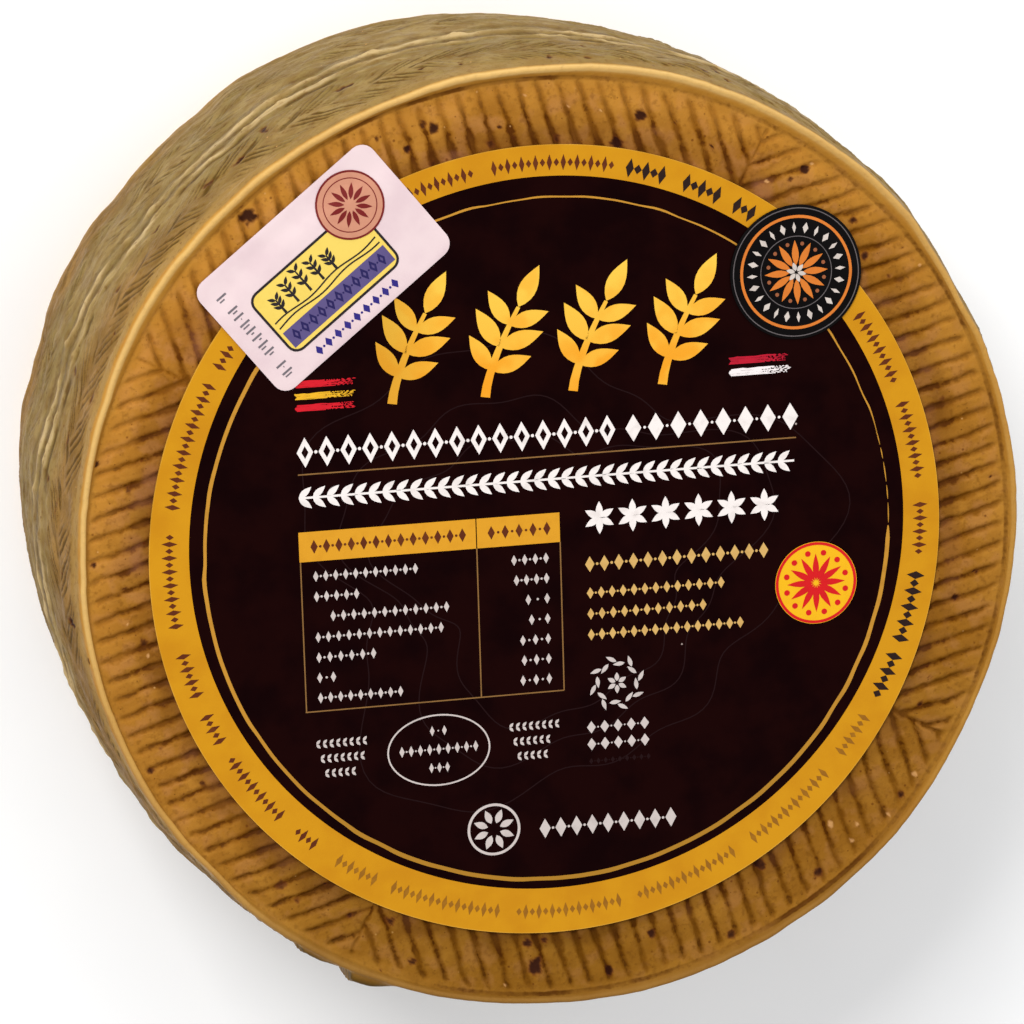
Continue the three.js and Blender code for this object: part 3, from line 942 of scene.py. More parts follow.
def label_piece():
    """The large label, whose faces are dark paper, gold ring or a cut edge paler with a painted highlight.
    """
    angles = np.linspace(0, 2 * math.pi, LABEL_SEGMENTS, endpoint=False)
    direction = np.stack([np.cos(angles), np.sin(angles)], -1)
    dark_rings = [(DARK_OFFSET, DARK_RADIUS * part) for part in np.linspace(0.03, 1, 32)]
    gold_rings = [(DARK_OFFSET * (1 - part), DARK_RADIUS + (LABEL_RADIUS - DARK_RADIUS) * part)
                  for part in (0.2, 0.4, 0.6, 0.8, 0.985, 1.0)]
    top = label_place([offset + direction * radius for offset, radius in dark_rings + gold_rings])
    under = top[::-UNDERSIDE_STEP].copy()
    under[..., 2] = LABEL_UNDERSIDE
    rows = [(len(dark_rings) - 1, 0), (len(gold_rings) - 1, 1), (2, 2), (len(under) - 1, 1)]
    materials = np.concatenate([np.full(count * LABEL_SEGMENTS, look) for count, look in rows] + [[0, 1]])
    made = ring_solid("label_paper", np.concatenate([top, under]), materials)
    looks = [paper_look("dark_label_print", (22, 3, 3), (14, 1, 2), 0.02, 0.38),
             paper_look("gold_label_print", (192, 134, 10), (184, 124, 6), 0.15, 0.45),
             # The cut edge: the paper's edge, paler with a painted highlight
             paper_look("label_cut_edge_and_highlight", (204, 152, 50), (190, 136, 34), 0.15, 0.5)]
    return make_piece(made, LABEL.node, LABEL.slot, looks)


def rounded_outline(width, height, corner, steps):
    """Points round a rectangle with rounded corners, counterclockwise."""
    outline = []
    for quarter in range(4):
        side_x = (1, -1, -1, 1)[quarter]
        side_y = (1, 1, -1, -1)[quarter]
        middle = np.array([side_x * (width / 2 - corner), side_y * (height / 2 - corner)])
        for part in np.linspace(0, math.pi / 2, steps):
            angle = quarter * math.pi / 2 + part
            outline.append(middle + corner * np.array([math.cos(angle), math.sin(angle)]))
    return np.array(outline)


def even_points(outline, spacing):
    """The outline with points added so that none are much further apart than spacing."""
    result = []
    for start, end in zip(outline, np.roll(outline, -1, 0)):
        count = max(1, math.ceil(np.hypot(*(end - start)) / spacing))
        result += [start + (end - start) * step / count for step in range(count)]
    return np.array(result)


def sticker_piece(name, sheet, outline, look):
    """A thin draped sticker, built of rings that shrink to its middle."""
    shares = np.concatenate([[1, 0.985], np.linspace(0.92, 0.03, 16)])[::-1]
    flat = outline * shares[:, None, None]
    top = sheet.place(flat)
    top[-1, :, 2] -= EDGE_DROP
    under = sheet.place(flat[::-1])
    under[..., 2] -= STICKER_THICKNESS
    return make_piece(ring_solid(name, np.concatenate([top, under])), sheet.node, sheet.slot, [look])


def sticker_pieces():
    card_outline = even_points(rounded_outline(*CARD_SIZE, CARD_CORNER, 7), 1.2)
    card = paper_look("card_paper", (216, 196, 200), (208, 186, 192), 0.2)
    sticker_piece("card_paper", CARD, card_outline, card)
    roundel = paper_look("roundel_paper", (4, 2, 3), (7, 5, 6), 0.07)
    sticker_piece("roundel_paper", ROUNDEL, circle_path((0, 0), ROUNDEL_RADIUS, 120), roundel)


# Printed shapes

LAYER_HEIGHT = 0.035
HAIR = 0.002
HAIR_LEVELS = 5
SET_IN = 0.05


class Print:
    """Printed shapes of one colour, each a very thin solid set in the surface that it is printed on."""

    def __init__(self, place, layer=1):
        self.place = place
        self.over = LAYER_HEIGHT * layer
        self.points = []
        self.faces = {}
        self.count = 0
        self.shapes = 0

    def add(self, rings, faces):
        """Adds one shape's rings and the faces between them, on the next of a few levels a hair apart."""
        self.shapes += 1
        hair = HAIR * (self.shapes % HAIR_LEVELS)
        for face in faces:
            self.faces.setdefault(len(face), []).append([self.count + number for number in face])
        for ring, is_upper in rings:
            placed = self.place(ring)
            placed[:, 2] += self.over + hair if is_upper else -SET_IN
            self.points.append(placed)
            self.count += len(placed)

    def stack(self, rings):
        """Adds rings one on another, closed by a face at each end."""
        count = len(rings[0][0])
        last = (len(rings) - 1) * count
        faces = [list(range(count))[::-1], list(range(last, last + count))]
        for ring, here in itertools.product(range(0, last, count), range(count)):
            there = (here + 1) % count
            faces.append([ring + here, ring + there, ring + count + there, ring + count + here])
        self.add(rings, faces)

    def plate(self, outline):
        """A flat shape with a convex outline."""
        outline = np.asarray(outline, float)
        after = np.roll(outline, -1, 0)
        if (outline[:, 0] * after[:, 1] - outline[:, 1] * after[:, 0]).sum() < 0:
            outline = outline[::-1]
        self.stack([(outline, False), (outline, True)])

    def field(self, outline, bands=6):
        """A larger shape, in bands that shrink to its middle and follow the surface."""
        outline = even_points(np.asarray(outline, float), 1.5)
        middle = outline.mean(0)
        shrunk = [middle + (outline - middle) * share for share in np.linspace(1, 0.04, bands)]
        self.stack([(ring, False) for ring in shrunk[::-1]] + [(ring, True) for ring in shrunk])

    def ribbon(self, path, half_width, closed=False):
        """A band along a path, whose half width can change from point to point."""
        path = np.asarray(path, float)
        count = len(path)
        ahead = np.roll(path, -1, 0) - path
        behind = path - np.roll(path, 1, 0)
        if not closed:
            ahead[-1] = behind[-1]
            behind[0] = ahead[0]
        ahead /= np.hypot(*ahead.T)[:, None]
        behind /= np.hypot(*behind.T)[:, None]
        middle = ahead + behind
        middle /= np.hypot(*middle.T)[:, None]
        reach = np.broadcast_to(half_width, count) / np.clip((middle * ahead).sum(1), 0.4, None)
        side = np.stack([-middle[:, 1], middle[:, 0]], -1) * reach[:, None]
        rings = [(path + side, True), (path - side, True), (path - side, False), (path + side, False)]
        faces = []
        for here in range(count if closed else count - 1):
            there = (here + 1) % count
            for ring in range(4):
                following = (ring + 1) % 4
                faces.append([following * count + here, following * count + there,
                              ring * count + there, ring * count + here])
        if not closed:
            faces.append([0, 3 * count, 2 * count, count])
            faces.append([2 * count - 1, 3 * count - 1, 4 * count - 1, count - 1])
        self.add(rings, faces)

    def piece(self, name, sheet, look):
        groups = [np.array(faces) for _, faces in sorted(self.faces.items())]
        made = build_mesh(name, np.concatenate(self.points), groups, is_smooth=False)
        return make_piece(made, sheet.node, sheet.slot, [look])


def arc_path(centre, radius, start, end, steps):
    """Points on an arc, from start to end in degrees."""
    turn = np.radians(np.linspace(start, end, steps))
    return np.array(centre) + radius * np.stack([np.cos(turn), np.sin(turn)], -1)


def circle_path(centre, radius, steps):
    return arc_path(centre, radius, 0, 360, steps + 1)[:-1]


def leaf_outline(base, angle, length, width, steps=6):
    """A pointed leaf that grows from base, at angle in degrees."""
    part = np.linspace(0, 1, steps + 1)
    half = width / 2 * np.sin(math.pi * part**0.85)
    upper = np.stack([part * length, half], -1)
    lower = np.stack([part[1:-1] * length, -half[1:-1]], -1)[::-1]
    return np.array(base) + turned(np.concatenate([upper, lower]), math.radians(angle))


def lozenge_outline(centre, width, height):
    return np.array(centre) + np.array([(width / 2, 0), (0, height / 2), (-width / 2, 0), (0, -height / 2)])


def box_outline(left, low, right, high):
    return [(left, low), (right, low), (right, high), (left, high)]


def circle_line(ink, centre, radius, half_width, steps):
    ink.ribbon(circle_path(centre, radius, steps), half_width, closed=True)


def bead_ring(ink, centre, radius, bead_radius, steps, start):
    """Twelve round beads on a circle, the first one at start degrees."""
    for angle in range(start, start + 360, 30):
        ink.plate(circle_path(np.array(centre) + radius * unit(angle), bead_radius, steps))


def standing_lozenge(ink, middle, outward, half_height, half_width):
    """A lozenge that stands in the outward direction."""
    across = np.array([outward[1], -outward[0]])
    ink.plate([middle + across * half_width, middle + outward * half_height,
               middle - across * half_width, middle - outward * half_height])


def lozenge_row(ink, left, right, y, height, width, gap, stroke=None):
    """A border of lozenges with a bead between each two, hollow where a stroke is given."""
    count = max(1, int((right - left + gap) / (width + gap)))
    pitch = (right - left - width) / max(1, count - 1)
    for index in range(count):
        x = left + width / 2 + index * pitch
        if stroke:
            ink.ribbon(lozenge_outline((x, y), width - stroke, height - stroke), stroke / 2, closed=True)
        else:
            ink.plate(lozenge_outline((x, y), width, height))
        if index < count - 1:
            ink.plate(circle_path((x + pitch / 2, y), gap * 0.3, 8))


def leaf_row(ink, left, right, y, height, pitch, spread=48, length=0.66, width=0.34, steps=4):
    """Pairs of leaves that spread about the row and point right, sized as shares of its height."""
    for index in range(max(1, int((right - left) / pitch))):
        for side in (1, -1):
            base = (left + index * pitch, y)
            ink.plate(leaf_outline(base, side * spread, height * length, height * width, steps))


def laurel_row(ink, left, right, y, height, pitch):
    """A straight stem with a pair of leaves at each step."""
    ink.ribbon(np.linspace((left, y), (right, y), 40), height * 0.05)
    leaf_row(ink, left, right, y, height, pitch, 40, 0.76, 0.3, 5)


def rosette(ink, centre, radius, petals, turn=0.0, inner=0.0):
    for index in range(petals):
        angle = turn + 360 * index / petals
        start = np.array(centre) + unit(angle) * inner
        ink.plate(leaf_outline(start, angle, radius - inner, radius * 2.6 / petals, 6))


def wreath(ink, centre, radius, leaves):
    """A ring of small leaves that follow each other round, leaning out and in by turns."""
    for index in range(leaves):
        angle = 360 * index / leaves
        lean = 28 if index % 2 else -28
        base = np.array(centre) + radius * unit(angle)
        ink.plate(leaf_outline(base, angle + 90 + lean, radius * 0.56, radius * 0.2, 5))


def sprig(ink, foot, height, lean, leaf_length, leaf_width):
    """A leafy sprig that leans to the right as it rises."""
    rise = 0.72 * height

    def stem_at(part):
        return np.stack([foot[0] + lean * part**1.4, foot[1] + rise * part], -1)

    parts = np.linspace(0, 1, 9)
    ink.ribbon(stem_at(parts), 1.0 - 0.6 * parts)
    tilt = -math.degrees(math.atan2(lean, rise))
    ink.plate(leaf_outline(stem_at(1.0), 90 + tilt * 1.3, leaf_length, leaf_width, 8))
    for part, size in ((0.30, 0.92), (0.56, 1.0), (0.80, 0.9)):
        for side in (1, -1):
            angle = 90 + tilt - side * 52
            ink.plate(leaf_outline(stem_at(part), angle, leaf_length * size, leaf_width * size, 8))


def brush_stroke(ink, left, right, y, thickness, seed, hairs=7):
    """A dry brush stroke: the streaks of its hairs break up towards the right."""
    for hair in range(hairs):
        offset = thickness * ((hair + 0.5) / hairs - 0.5)
        phase = 2.4 * hair + seed
        start = left + 0.25 * math.sin(3 * phase)
        whole = left + (right - left) * (0.66 + 0.16 * math.sin(phase))
        x = np.linspace(start, whole, 12)
        rough = noise(np.stack([x, np.full(len(x), 10.0 * phase)], -1), 1.1, seed)
        ink.ribbon(np.stack([x, y + offset + 0.07 * rough], -1), thickness / hairs * (0.6 + 0.25 * rough))
        gap = whole + 0.3
        while gap < right - 0.4:
            end = gap + 0.55 + 0.35 * math.sin(5 * phase + gap)
            ink.ribbon([(gap, y + offset), ((gap + end) / 2, y + offset + 0.05), (end, y + offset)],
                       [0.04, thickness / hairs * 0.5, 0.03])
            gap = end + 0.35 + 0.3 * math.sin(4 * phase + end)


def repeat(shape, rows, **options):
    """A drawing that makes one kind of shape once for each row of measures."""
    def draw(ink):
        for row in rows:
            shape(ink, *row, **options)
    return draw


def fill(*outlines):
    """A drawing that fills outlines."""
    def draw(ink):
        for outline in outlines:
            ink.field(outline)
    return draw


def add_prints(sheet, prints):
    """Adds the pieces of a sheet from rows of name, layer, drawing and look."""
    for name, layer, draw, look in prints:
        ink = Print(sheet.place, layer)
        draw(ink)
        ink.piece(name, sheet, look)


# Label print, in millimetres from the label's centre

COLUMN_LEFT, COLUMN_RIGHT = -52.6, 53.5
TABLE_LEFT, TABLE_DIVIDER, TABLE_RIGHT = -53.0, -15.8, 1.9
TABLE_TOP, HEADER_BOTTOM, TABLE_BOTTOM = 7.1, 0.8, -31.2
# Lengths of the table's rows, left and right of its divider
TABLE_ROWS = [(22.0, 8.0), (9.5, 7.6), (25.0, 5.2), (27.0, 4.6), (12.6, 6.6), (4.0, 6.4), (18.0, 6.8)]
INDENTED_ROW = 2
# Sprigs: foot, height, lean, and a leaf's length and width
SPRIGS = [((x, 32.6), 25.5, 7.5, 9.6, 3.8) for x in (-32.5, -13.0, 5.5, 24.5)]
EMBLEM_CENTRE = (-14.0, -60.2)
WREATH_CENTRE = (13.3, -30.6)
SEAL_CENTRE = (56.9, -12.5)
OVAL_CENTRE, OVAL_HALVES = (-25.2, -41.8), (10.8, 7.6)
# Middle and half width of the two blocks of leaves
LEAF_BLOCKS = [(-45.2, 5.8), (-4.4, 5.6)]
HEADER_BOXES = [box_outline(TABLE_LEFT, HEADER_BOTTOM, TABLE_DIVIDER - 0.12, TABLE_TOP),
                box_outline(TABLE_DIVIDER + 0.12, HEADER_BOTTOM, TABLE_RIGHT, TABLE_TOP)]
# Rows of lozenges: left and right end, height on the label, a lozenge's height and width, and the gap
EMBLEM_ROWS = [(-4.2, 25.5, -61.0, 4.3, 2.4, 0.95)]
OVAL_ROWS = [(-27.0, -23.4, -37.6, 2.2, 1.0, 0.6), (-33.6, -16.8, -41.6, 2.4, 1.1, 0.7),
             (-27.4, -23.0, -45.6, 2.2, 1.0, 0.6)]
WREATH_ROWS = [(6.6, 20.0, -39.8, 2.7, 1.9, 0.65), (6.6, 20.0, -43.5, 2.7, 1.9, 0.65)]
TAN_ROWS = [(7.1, 46.6, -4.5, 3.4, 2.0, 1.0), (7.3, 37.0, -10.7, 2.5, 1.5, 0.8),
            (7.3, 33.0, -15.2, 2.5, 1.5, 0.8), (7.3, 41.0, -19.7, 2.5, 1.5, 0.8)]
HEADER_ROWS = [(TABLE_LEFT + 2.4, TABLE_DIVIDER - 2.2, 3.9, 2.9, 1.5, 0.95),
               (TABLE_DIVIDER + 2.4, TABLE_RIGHT - 2.0, 3.9, 2.9, 1.5, 0.95)]
# Dry brush strokes: left and right end, height on the label, thickness and seed
RED_STROKES = [(-52.4, -40.2, 38.0, 1.35, 3), (-52.4, -40.2, 33.1, 1.35, 5)]
YELLOW_STROKES = [(-52.4, -40.2, 35.5, 1.25, 4)]
CRIMSON_STROKES = [(39.0, 51.2, 36.5, 1.5, 6)]
PALE_STROKES = [(39.0, 51.8, 34.0, 1.5, 7)]
GOLD_CENTRE, GOLD_RADIUS = (0.06, 0.6), 72.8
# Degrees where the gold circle's whole line starts and ends, and each of its worn dashes
GOLD_LINE = (14, 358.5)
GOLD_DASHES = [(-1, 2.4), (3.0, 5.4), (6.0, 9.4), (10.0, 11.9), (12.4, 15.5)]
DASH_HALF_WIDTHS = [0.03, 0.08, 0.11, 0.12, 0.11, 0.08, 0.03]
# The border on the gold ring: degrees where a run of marks starts and ends
RING_OFFSET, RING_RADIUS = (0, 0.55), 79.9
BOLD_RUNS = [(76.5, 69), (67.5, 60.5), (59, 54), (-9.5, -21), (-22.5, -30.5)]
DARK_RUNS = [(112, 99), (97, 78), (33, 20), (17.5, 4), (1.5, -7), (148, 143), (170, 150), (188, 173),
             (199, 191), (207, 201), (222, 209), (229, 224)]
FAINT_RUNS = [(-33, -41), (-43.5, -60), (-62, -79), (-81, -98), (-100, -118), (-120, -128)]


def white_label_print(ink):
    lozenge_row(ink, COLUMN_LEFT, 14.2, 23.8, 5.4, 3.3, 1.2, stroke=0.85)
    lozenge_row(ink, 16.4, COLUMN_RIGHT, 23.8, 5.8, 3.4, 1.0)
    laurel_row(ink, COLUMN_LEFT, COLUMN_RIGHT - 1, 14.3, 4.6, 2.9)
    for index in range(6):
        rosette(ink, (10.4 + 7.1 * index, 5.3), 3.5, 6, 30)


def table_rows_print(ink):
    """Rows of lozenges from the table's left side, and others that end at its right side."""
    for index, (left_length, right_length) in enumerate(TABLE_ROWS):
        y = HEADER_BOTTOM - 3.2 - 4.33 * index
        left = TABLE_LEFT + 2.7 + (3.3 if index == INDENTED_ROW else 0)
        right = TABLE_RIGHT - 2.5
        lozenge_row(ink, left, left + left_length, y, 2.3, 1.15, 0.85)
        lozenge_row(ink, right - right_length, right, y, 2.3, 1.2, 0.85)


def pale_label_print(ink):
    """The small ornaments, in an ink that is less bright."""
    rosette(ink, EMBLEM_CENTRE, 4.6, 8, 22.5, 1.4)
    circle_line(ink, EMBLEM_CENTRE, 5.4, 0.28, 48)
    repeat(lozenge_row, EMBLEM_ROWS)(ink)
    table_rows_print(ink)
    for middle, half_width in LEAF_BLOCKS:
        for index, share in enumerate((1.0, 0.86, 0.72)):
            reach = half_width * share
            leaf_row(ink, middle - reach, middle + reach, -38.3 - 3.2 * index, 1.9, 1.4)
    ink.ribbon(circle_path((0, 0), 1, 64) * OVAL_HALVES + OVAL_CENTRE, 0.17, closed=True)
    repeat(lozenge_row, OVAL_ROWS)(ink)
    wreath(ink, WREATH_CENTRE, 4.6, 16)
    rosette(ink, WREATH_CENTRE, 2.3, 6, 30, 0.4)
    repeat(lozenge_row, WREATH_ROWS)(ink)


def gold_circle_print(ink):
    """A wavering circle that is widest at its left, broken into dashes at its right."""
    start, end = GOLD_LINE
    angles = np.linspace(start, end, 320)
    wobble = noise(np.stack([angles * 1.25, angles * 0], -1), 5, 95)
    direction = np.stack([np.cos(np.radians(angles)), np.sin(np.radians(angles))], -1)
    path = GOLD_CENTRE + (GOLD_RADIUS + 0.25 * wobble)[:, None] * direction
    half_width = 0.19 + 0.2 * smooth(90, 150, angles) + 0.06 * smooth(215, 245, angles) + 0.07 * wobble
    ends = smooth(start, start + 8, angles) * (1 - smooth(end - 2, end, angles))
    ink.ribbon(path, half_width * (0.3 + 0.7 * ends))
    for start, end in GOLD_DASHES:
        ink.ribbon(arc_path(GOLD_CENTRE, GOLD_RADIUS + 0.05, start, end, 7), DASH_HALF_WIDTHS)


def fine_line_print(ink):
    """The table's outline and divider, and the line under the upper row."""
    for x in (TABLE_LEFT + 0.2, TABLE_RIGHT, TABLE_DIVIDER):
        ink.ribbon(np.linspace((x, TABLE_BOTTOM), (x, HEADER_BOTTOM), 14), 0.13)
    ink.ribbon(np.linspace((TABLE_LEFT, TABLE_BOTTOM), (TABLE_RIGHT, TABLE_BOTTOM), 24), 0.13)
    ink.ribbon(np.linspace((TABLE_LEFT + 0.4, 19.2), (53.0, 19.2), 40), 0.14)


def seal_red_print(ink):
    rosette(ink, SEAL_CENTRE, 6.3, 12, 0, 0.5)
    bead_ring(ink, SEAL_CENTRE, 6.6, 0.62, 12, 15)
    circle_line(ink, SEAL_CENTRE, 8.5, 0.3, 64)


def faint_label_print(ink):
    """Thin closed curves like contour lines, hardly lighter than the label."""
    angles = np.linspace(0, 2 * math.pi, 180, endpoint=False)
    for radius, shift in ((33, 0.0), (41, 0.5), (52, 1.1)):
        swing = 1 + 0.16 * np.sin(3 * angles + shift) + 0.09 * np.sin(5 * angles - 1 + shift)
        reach = radius * (swing + 0.03 * np.sin(13 * angles))
        path = np.stack([reach * np.cos(angles), 0.9 * reach * np.sin(angles) - 4], -1)
        ink.ribbon(path, 0.12, closed=True)
    lozenge_row(ink, 6.9, 20.2, -47.2, 1.3, 0.9, 0.5)


def border_run(ink, start, end, pitch=1.45, half_width=0.56, half_height=1.65):
    """Tall and short lozenges by turns along the gold ring, clockwise from start to end."""
    for index in range(int(math.radians(start - end) * RING_RADIUS / pitch)):
        outward = unit(start - math.degrees(index * pitch / RING_RADIUS))
        tall = half_height * (0.5 if index % 2 else 1)
        standing_lozenge(ink, outward * RING_RADIUS + RING_OFFSET, outward, tall, half_width)


def label_prints():
    brown = ink_look("brown_ink", (84, 32, 2), (110, 56, 6))
    add_prints(LABEL, [
        ("label_ornament_white", 1, white_label_print,
         ink_look("white_ink", (226, 219, 218), (188, 178, 176))),
        ("label_ornament_pale", 1, pale_label_print,
         ink_look("small_white_ink", (190, 180, 178), (160, 150, 148))),
        ("label_table_header", 1, fill(*HEADER_BOXES),
         ink_look("ochre_ink", (203, 143, 28), (190, 130, 20))),
        ("label_ornament_tan", 1, repeat(lozenge_row, TAN_ROWS),
         ink_look("tan_ink", (197, 159, 93), (166, 124, 62))),
        ("label_sprigs_gold", 1, repeat(sprig, SPRIGS), gold_ink_look()),
        ("label_circle_gold", 1, gold_circle_print, gold_line_look()),
        ("label_table_lines", 1, fine_line_print, ink_look("fine_line_ink", (128, 92, 48), (96, 66, 34))),
        ("label_red", 1, repeat(brush_stroke, RED_STROKES),
         ink_look("red_ink", (198, 16, 34), (172, 12, 30))),
        ("label_yellow_stroke", 1, repeat(brush_stroke, YELLOW_STROKES),
         ink_look("yellow_stroke_ink", (219, 166, 30), (186, 126, 30))),
        ("label_crimson_stroke", 1, repeat(brush_stroke, CRIMSON_STROKES),
         ink_look("crimson_ink", (174, 10, 40), (128, 8, 30))),
        ("label_pale_stroke", 1, repeat(brush_stroke, PALE_STROKES),
         ink_look("pale_ink", (228, 220, 222), (166, 156, 156))),
        ("label_seal_yellow", 1, fill(circle_path(SEAL_CENTRE, 8.9, 64)),
         ink_look("seal_yellow_ink", (224, 170, 12), (218, 158, 12))),
        ("label_border_bold", 1,
         repeat(border_run, BOLD_RUNS, pitch=1.75, half_width=0.85, half_height=2.0),
         ink_look("black_ink", (30, 10, 6), (54, 20, 6))),
        ("label_border_dark", 1, repeat(border_run, DARK_RUNS), brown),
        ("label_border_faint", 1, repeat(border_run, FAINT_RUNS),
         ink_look("worn_ink", (136, 88, 14), (166, 112, 12))),
        ("label_faint_curves", 0.35, faint_label_print,
         ink_look("faint_ink", (30, 13, 15), (22, 6, 8), specular=0.05)),
        ("label_header_marks", 2, repeat(lozenge_row, HEADER_ROWS), brown),
        ("label_seal_red", 2, seal_red_print, ink_look("seal_red_ink", (196, 14, 20), (180, 10, 16))),
    ])


# Card print, in millimetres from the card's centre and along its own axes

CARD_PANEL = (-15.9, -9.5, 13.0, 5.5)
CARD_DISC = (12.4, 6.3)
CARD_BAND = (CARD_PANEL[0] + 0.9, -8.4, CARD_PANEL[2] - 0.9, -4.4)
CARD_SPRIG_HEIGHTS = (3.4, 4.6, 5.4, 4.6, 3.4)
CARD_BLUE_ROWS = [(-12.4, 9.6, -12.1, 2.3, 1.5, 0.9)]
CARD_BAND_ROWS = [(CARD_BAND[0] + 1.3, CARD_BAND[2] - 1.3,
                   (CARD_BAND[1] + CARD_BAND[3]) / 2, 2.5, 1.5, 0.7)]
CARD_TALLIES = (9.6, 6.2, 4.3, 2.4, 0.5, -1.4, -3.3, -5.2, -9.0, -10.9)


def card_panel_outline():
    left, low, right, high = CARD_PANEL
    return rounded_outline(right - left, high - low, 2.2, 6) + ((left + right) / 2, (low + high) / 2)


def card_dark_print(ink):
    """The panel's border, furrows and a row of sprigs."""
    left, _, right, _ = CARD_PANEL
    ink.ribbon(even_points(card_panel_outline(), 2.5), 0.26, closed=True)
    for index in range(2):
        x = np.linspace(left + 1.0, right - 1.0, 24)
        ink.ribbon(np.stack([x, -3.2 + 1.1 * index + 0.35 * np.sin(x * 0.45 + index)], -1), 0.16)
    for index, height in enumerate(CARD_SPRIG_HEIGHTS):
        x, y = -11.6 + 3.4 * index, -1.6
        ink.ribbon([(x, y), (x, y + height)], [0.3, 0.14])
        for part in (0.35, 0.65, 0.95):
            for side in (1, -1):
                ink.plate(leaf_outline((x, y + height * part), 90 - side * 46, 1.9, 0.75, 4))


def card_red_print(ink):
    circle_line(ink, CARD_DISC, 6.9, 0.2, 48)
    circle_line(ink, CARD_DISC, 5.5, 0.1, 40)
    rosette(ink, CARD_DISC, 4.6, 12, 15, 1.2)


def card_tally_print(ink):
    for index, height in enumerate(CARD_TALLIES):
        low = height - 0.75
        ink.ribbon([(-20.6, height), (-18.2, height)], 0.22)
        ink.ribbon([(-20.4 + 0.5 * (index % 3), low), (-19.2 + 0.4 * (index % 2), low)], 0.16)


def card_prints():
    add_prints(CARD, [
        ("card_yellow", 1, fill(card_panel_outline()),
         ink_look("card_yellow_ink", (222, 194, 92), (214, 184, 80))),
        ("card_salmon", 3, fill(circle_path(CARD_DISC, 6.9, 48)),
         ink_look("card_salmon_ink", (190, 132, 108), (176, 116, 94))),
        ("card_navy_row", 1, repeat(lozenge_row, CARD_BLUE_ROWS),
         ink_look("card_blue_ink", (40, 32, 116), (62, 52, 126))),
        ("card_navy_band", 2, fill(box_outline(*CARD_BAND)),
         ink_look("card_navy_ink", (84, 74, 122), (72, 60, 108))),
        ("card_dark", 2, card_dark_print, ink_look("card_dark_ink", (30, 24, 28), (50, 42, 44))),
        ("card_grey", 1, card_tally_print, ink_look("card_grey_ink", (104, 98, 104), (128, 120, 128))),
        ("card_red", 4, card_red_print, ink_look("card_red_ink", (108, 22, 22), (128, 38, 36))),
        ("card_lilac", 3, repeat(lozenge_row, CARD_BAND_ROWS, stroke=0.42),
         ink_look("card_lilac_ink", (30, 24, 80), (40, 34, 92))),
    ])


# Round sticker print, in millimetres from its centre

def roundel_orange_print(ink):
    circle_line(ink, (0, 0), 11.7, 0.3, 80)
    rosette(ink, (0, 0), 6.8, 12, 15, 1.4)


def roundel_white_print(ink):
    for index in range(24):
        outward = unit(15 * index)
        standing_lozenge(ink, 9.45 * outward, outward, 1.15, 0.4 if index % 2 else 0.62)
    rosette(ink, (0, 0), 2.2, 6, 0, 0.3)


def roundel_prints():
    add_prints(ROUNDEL, [
        ("roundel_orange", 1, roundel_orange_print,
         ink_look("roundel_orange_ink", (200, 112, 38), (178, 94, 32))),
        ("roundel_bronze", 1, repeat(bead_ring, [((0, 0), 6.1, 0.42, 10, 0)]),
         ink_look("roundel_bronze_ink", (142, 82, 50), (116, 64, 38))),
        ("roundel_grey", 1, repeat(circle_line, [((0, 0), 13.45, 0.1, 72), ((0, 0), 7.6, 0.08, 56)]),
         ink_look("roundel_grey_ink", (92, 86, 88), (66, 60, 62))),
        ("roundel_white", 2, roundel_white_print,
         ink_look("roundel_white_ink", (196, 186, 180), (160, 150, 146))),
    ])


# Floor, light and camera

VIEW_BACK = Vector((-0.19926, 0.23199, 0.95209))
VIEW_ROLL = math.radians(3.1)
VIEW_DISTANCE = 0.949
LIP_CENTRE = Vector((0, 0, HEIGHT * MM))
WHEEL_MIDDLE = Vector((0, 0, 0.05))
AIM_RIGHT, AIM_UP = -0.00918, 0.00678
LENS = 160.75
FLOOR_HALF = 2.5
WORLD_COLOUR = (1.0, 0.99, 0.97, 1.0)
WORLD_STRENGTH = 0.76
# Lights: how far right, up and towards the camera each is, its distance, size, power and colour
LIGHTS = [("key", (-0.22, 0.33, 0.92), 2.0, 0.6, 23.5, (1.0, 0.97, 0.92)),
          ("back", (-0.15, 0.9, 0.6), 2.0, 1.0, 9, (0.94, 1.0, 1.0)),
          ("fill", (0.8, 0.35, 0.55), 2.0, 1.2, 5, (1.0, 0.98, 0.96))]


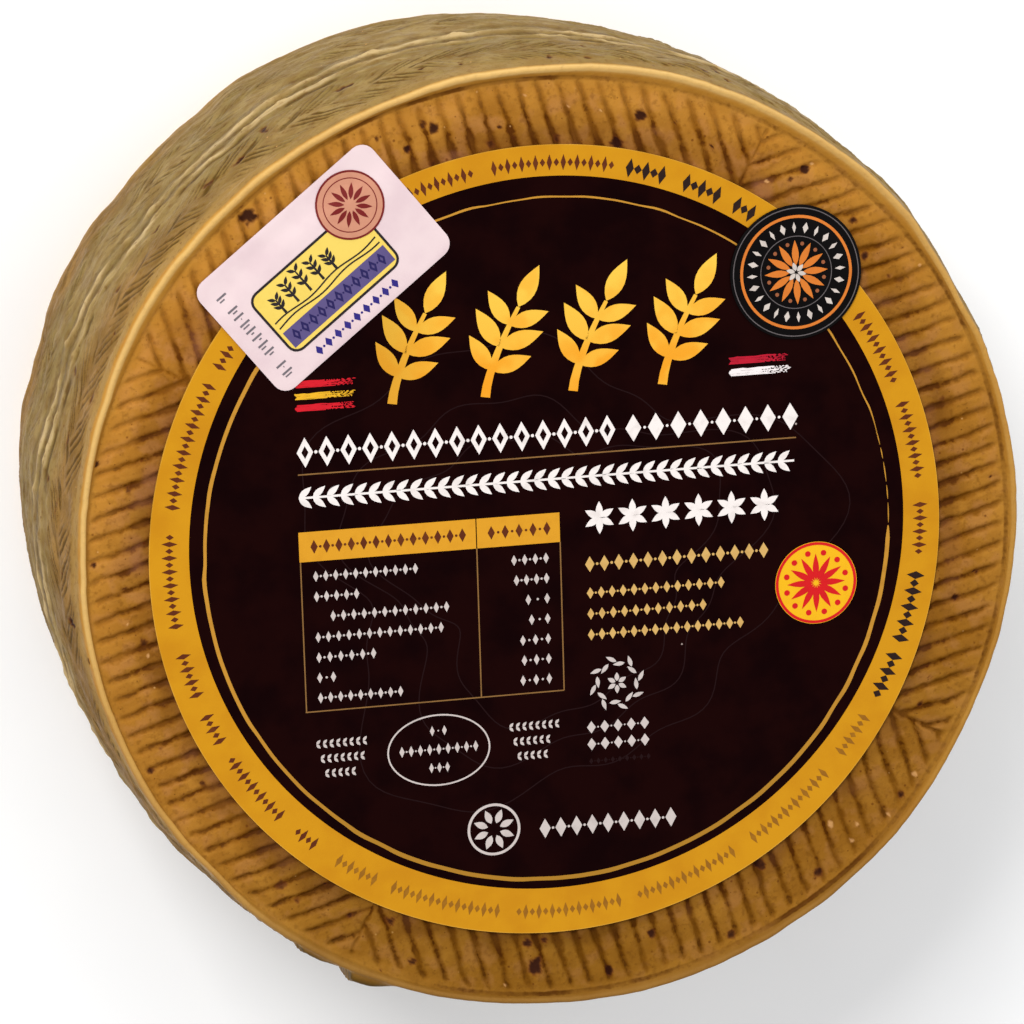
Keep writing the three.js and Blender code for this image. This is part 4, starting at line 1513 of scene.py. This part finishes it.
def camera_axes():
    """The camera's right, up and back."""
    tilt = Vector((0, 0, 1)).rotation_difference(VIEW_BACK)
    right = tilt @ Vector((math.cos(VIEW_ROLL), -math.sin(VIEW_ROLL), 0))
    up = tilt @ Vector((math.sin(VIEW_ROLL), math.cos(VIEW_ROLL), 0))
    return right, up, VIEW_BACK.normalized()


def place_camera():
    right, up, back = camera_axes()
    data = bpy.data.cameras.new("camera")
    data.lens = LENS
    data.sensor_width = 36
    data.clip_start = 0.05
    data.clip_end = 20
    made = add_object("camera", data)
    eye = LIP_CENTRE + back * VIEW_DISTANCE + right * AIM_RIGHT + up * AIM_UP
    made.matrix_world = Matrix.Translation(eye) @ Matrix((right, up, back)).transposed().to_4x4()
    bpy.context.scene.camera = made


def place_light(name, direction, distance, size, power, colour):
    """A square soft light that faces the wheel."""
    data = bpy.data.lights.new(name, "AREA")
    data.shape = "SQUARE"
    data.size = size
    data.energy = power
    data.color = colour
    made = add_object(name, data)
    away = sum((axis * part for axis, part in zip(camera_axes(), direction)), Vector()).normalized()
    made.location = WHEEL_MIDDLE + away * distance
    made.rotation_euler = away.to_track_quat("Z", "Y").to_euler()


def place_floor():
    corners = [(-1, -1), (1, -1), (1, 1), (-1, 1)]
    mesh = bpy.data.meshes.new("floor")
    mesh.from_pydata([(FLOOR_HALF * x, FLOOR_HALF * y, 0) for x, y in corners], [], [(0, 1, 2, 3)])
    made = add_object("floor", mesh)
    look = Look("pale_floor")
    shade = look.tones(look.ramp(look.noise(60, 2), 0.3, 0.7), (246, 248, 252), (243, 245, 249))
    look.set(Base_Color=shade, Roughness=0.9, Specular_IOR_Level=0.1)
    mesh.materials.append(look.material)


def set_world():
    world = bpy.data.worlds.new("studio")
    world.use_nodes = True
    background = world.node_tree.nodes["Background"]
    background.inputs["Color"].default_value = WORLD_COLOUR
    background.inputs["Strength"].default_value = WORLD_STRENGTH
    bpy.context.scene.world = world
    bpy.context.scene.view_settings.view_transform = "Standard"


wheel_piece()
label_piece()
label_prints()
sticker_pieces()
card_prints()
roundel_prints()
place_floor()
set_world()
place_camera()
for light in LIGHTS:
    place_light(*light)
bpy.context.view_layer.update()
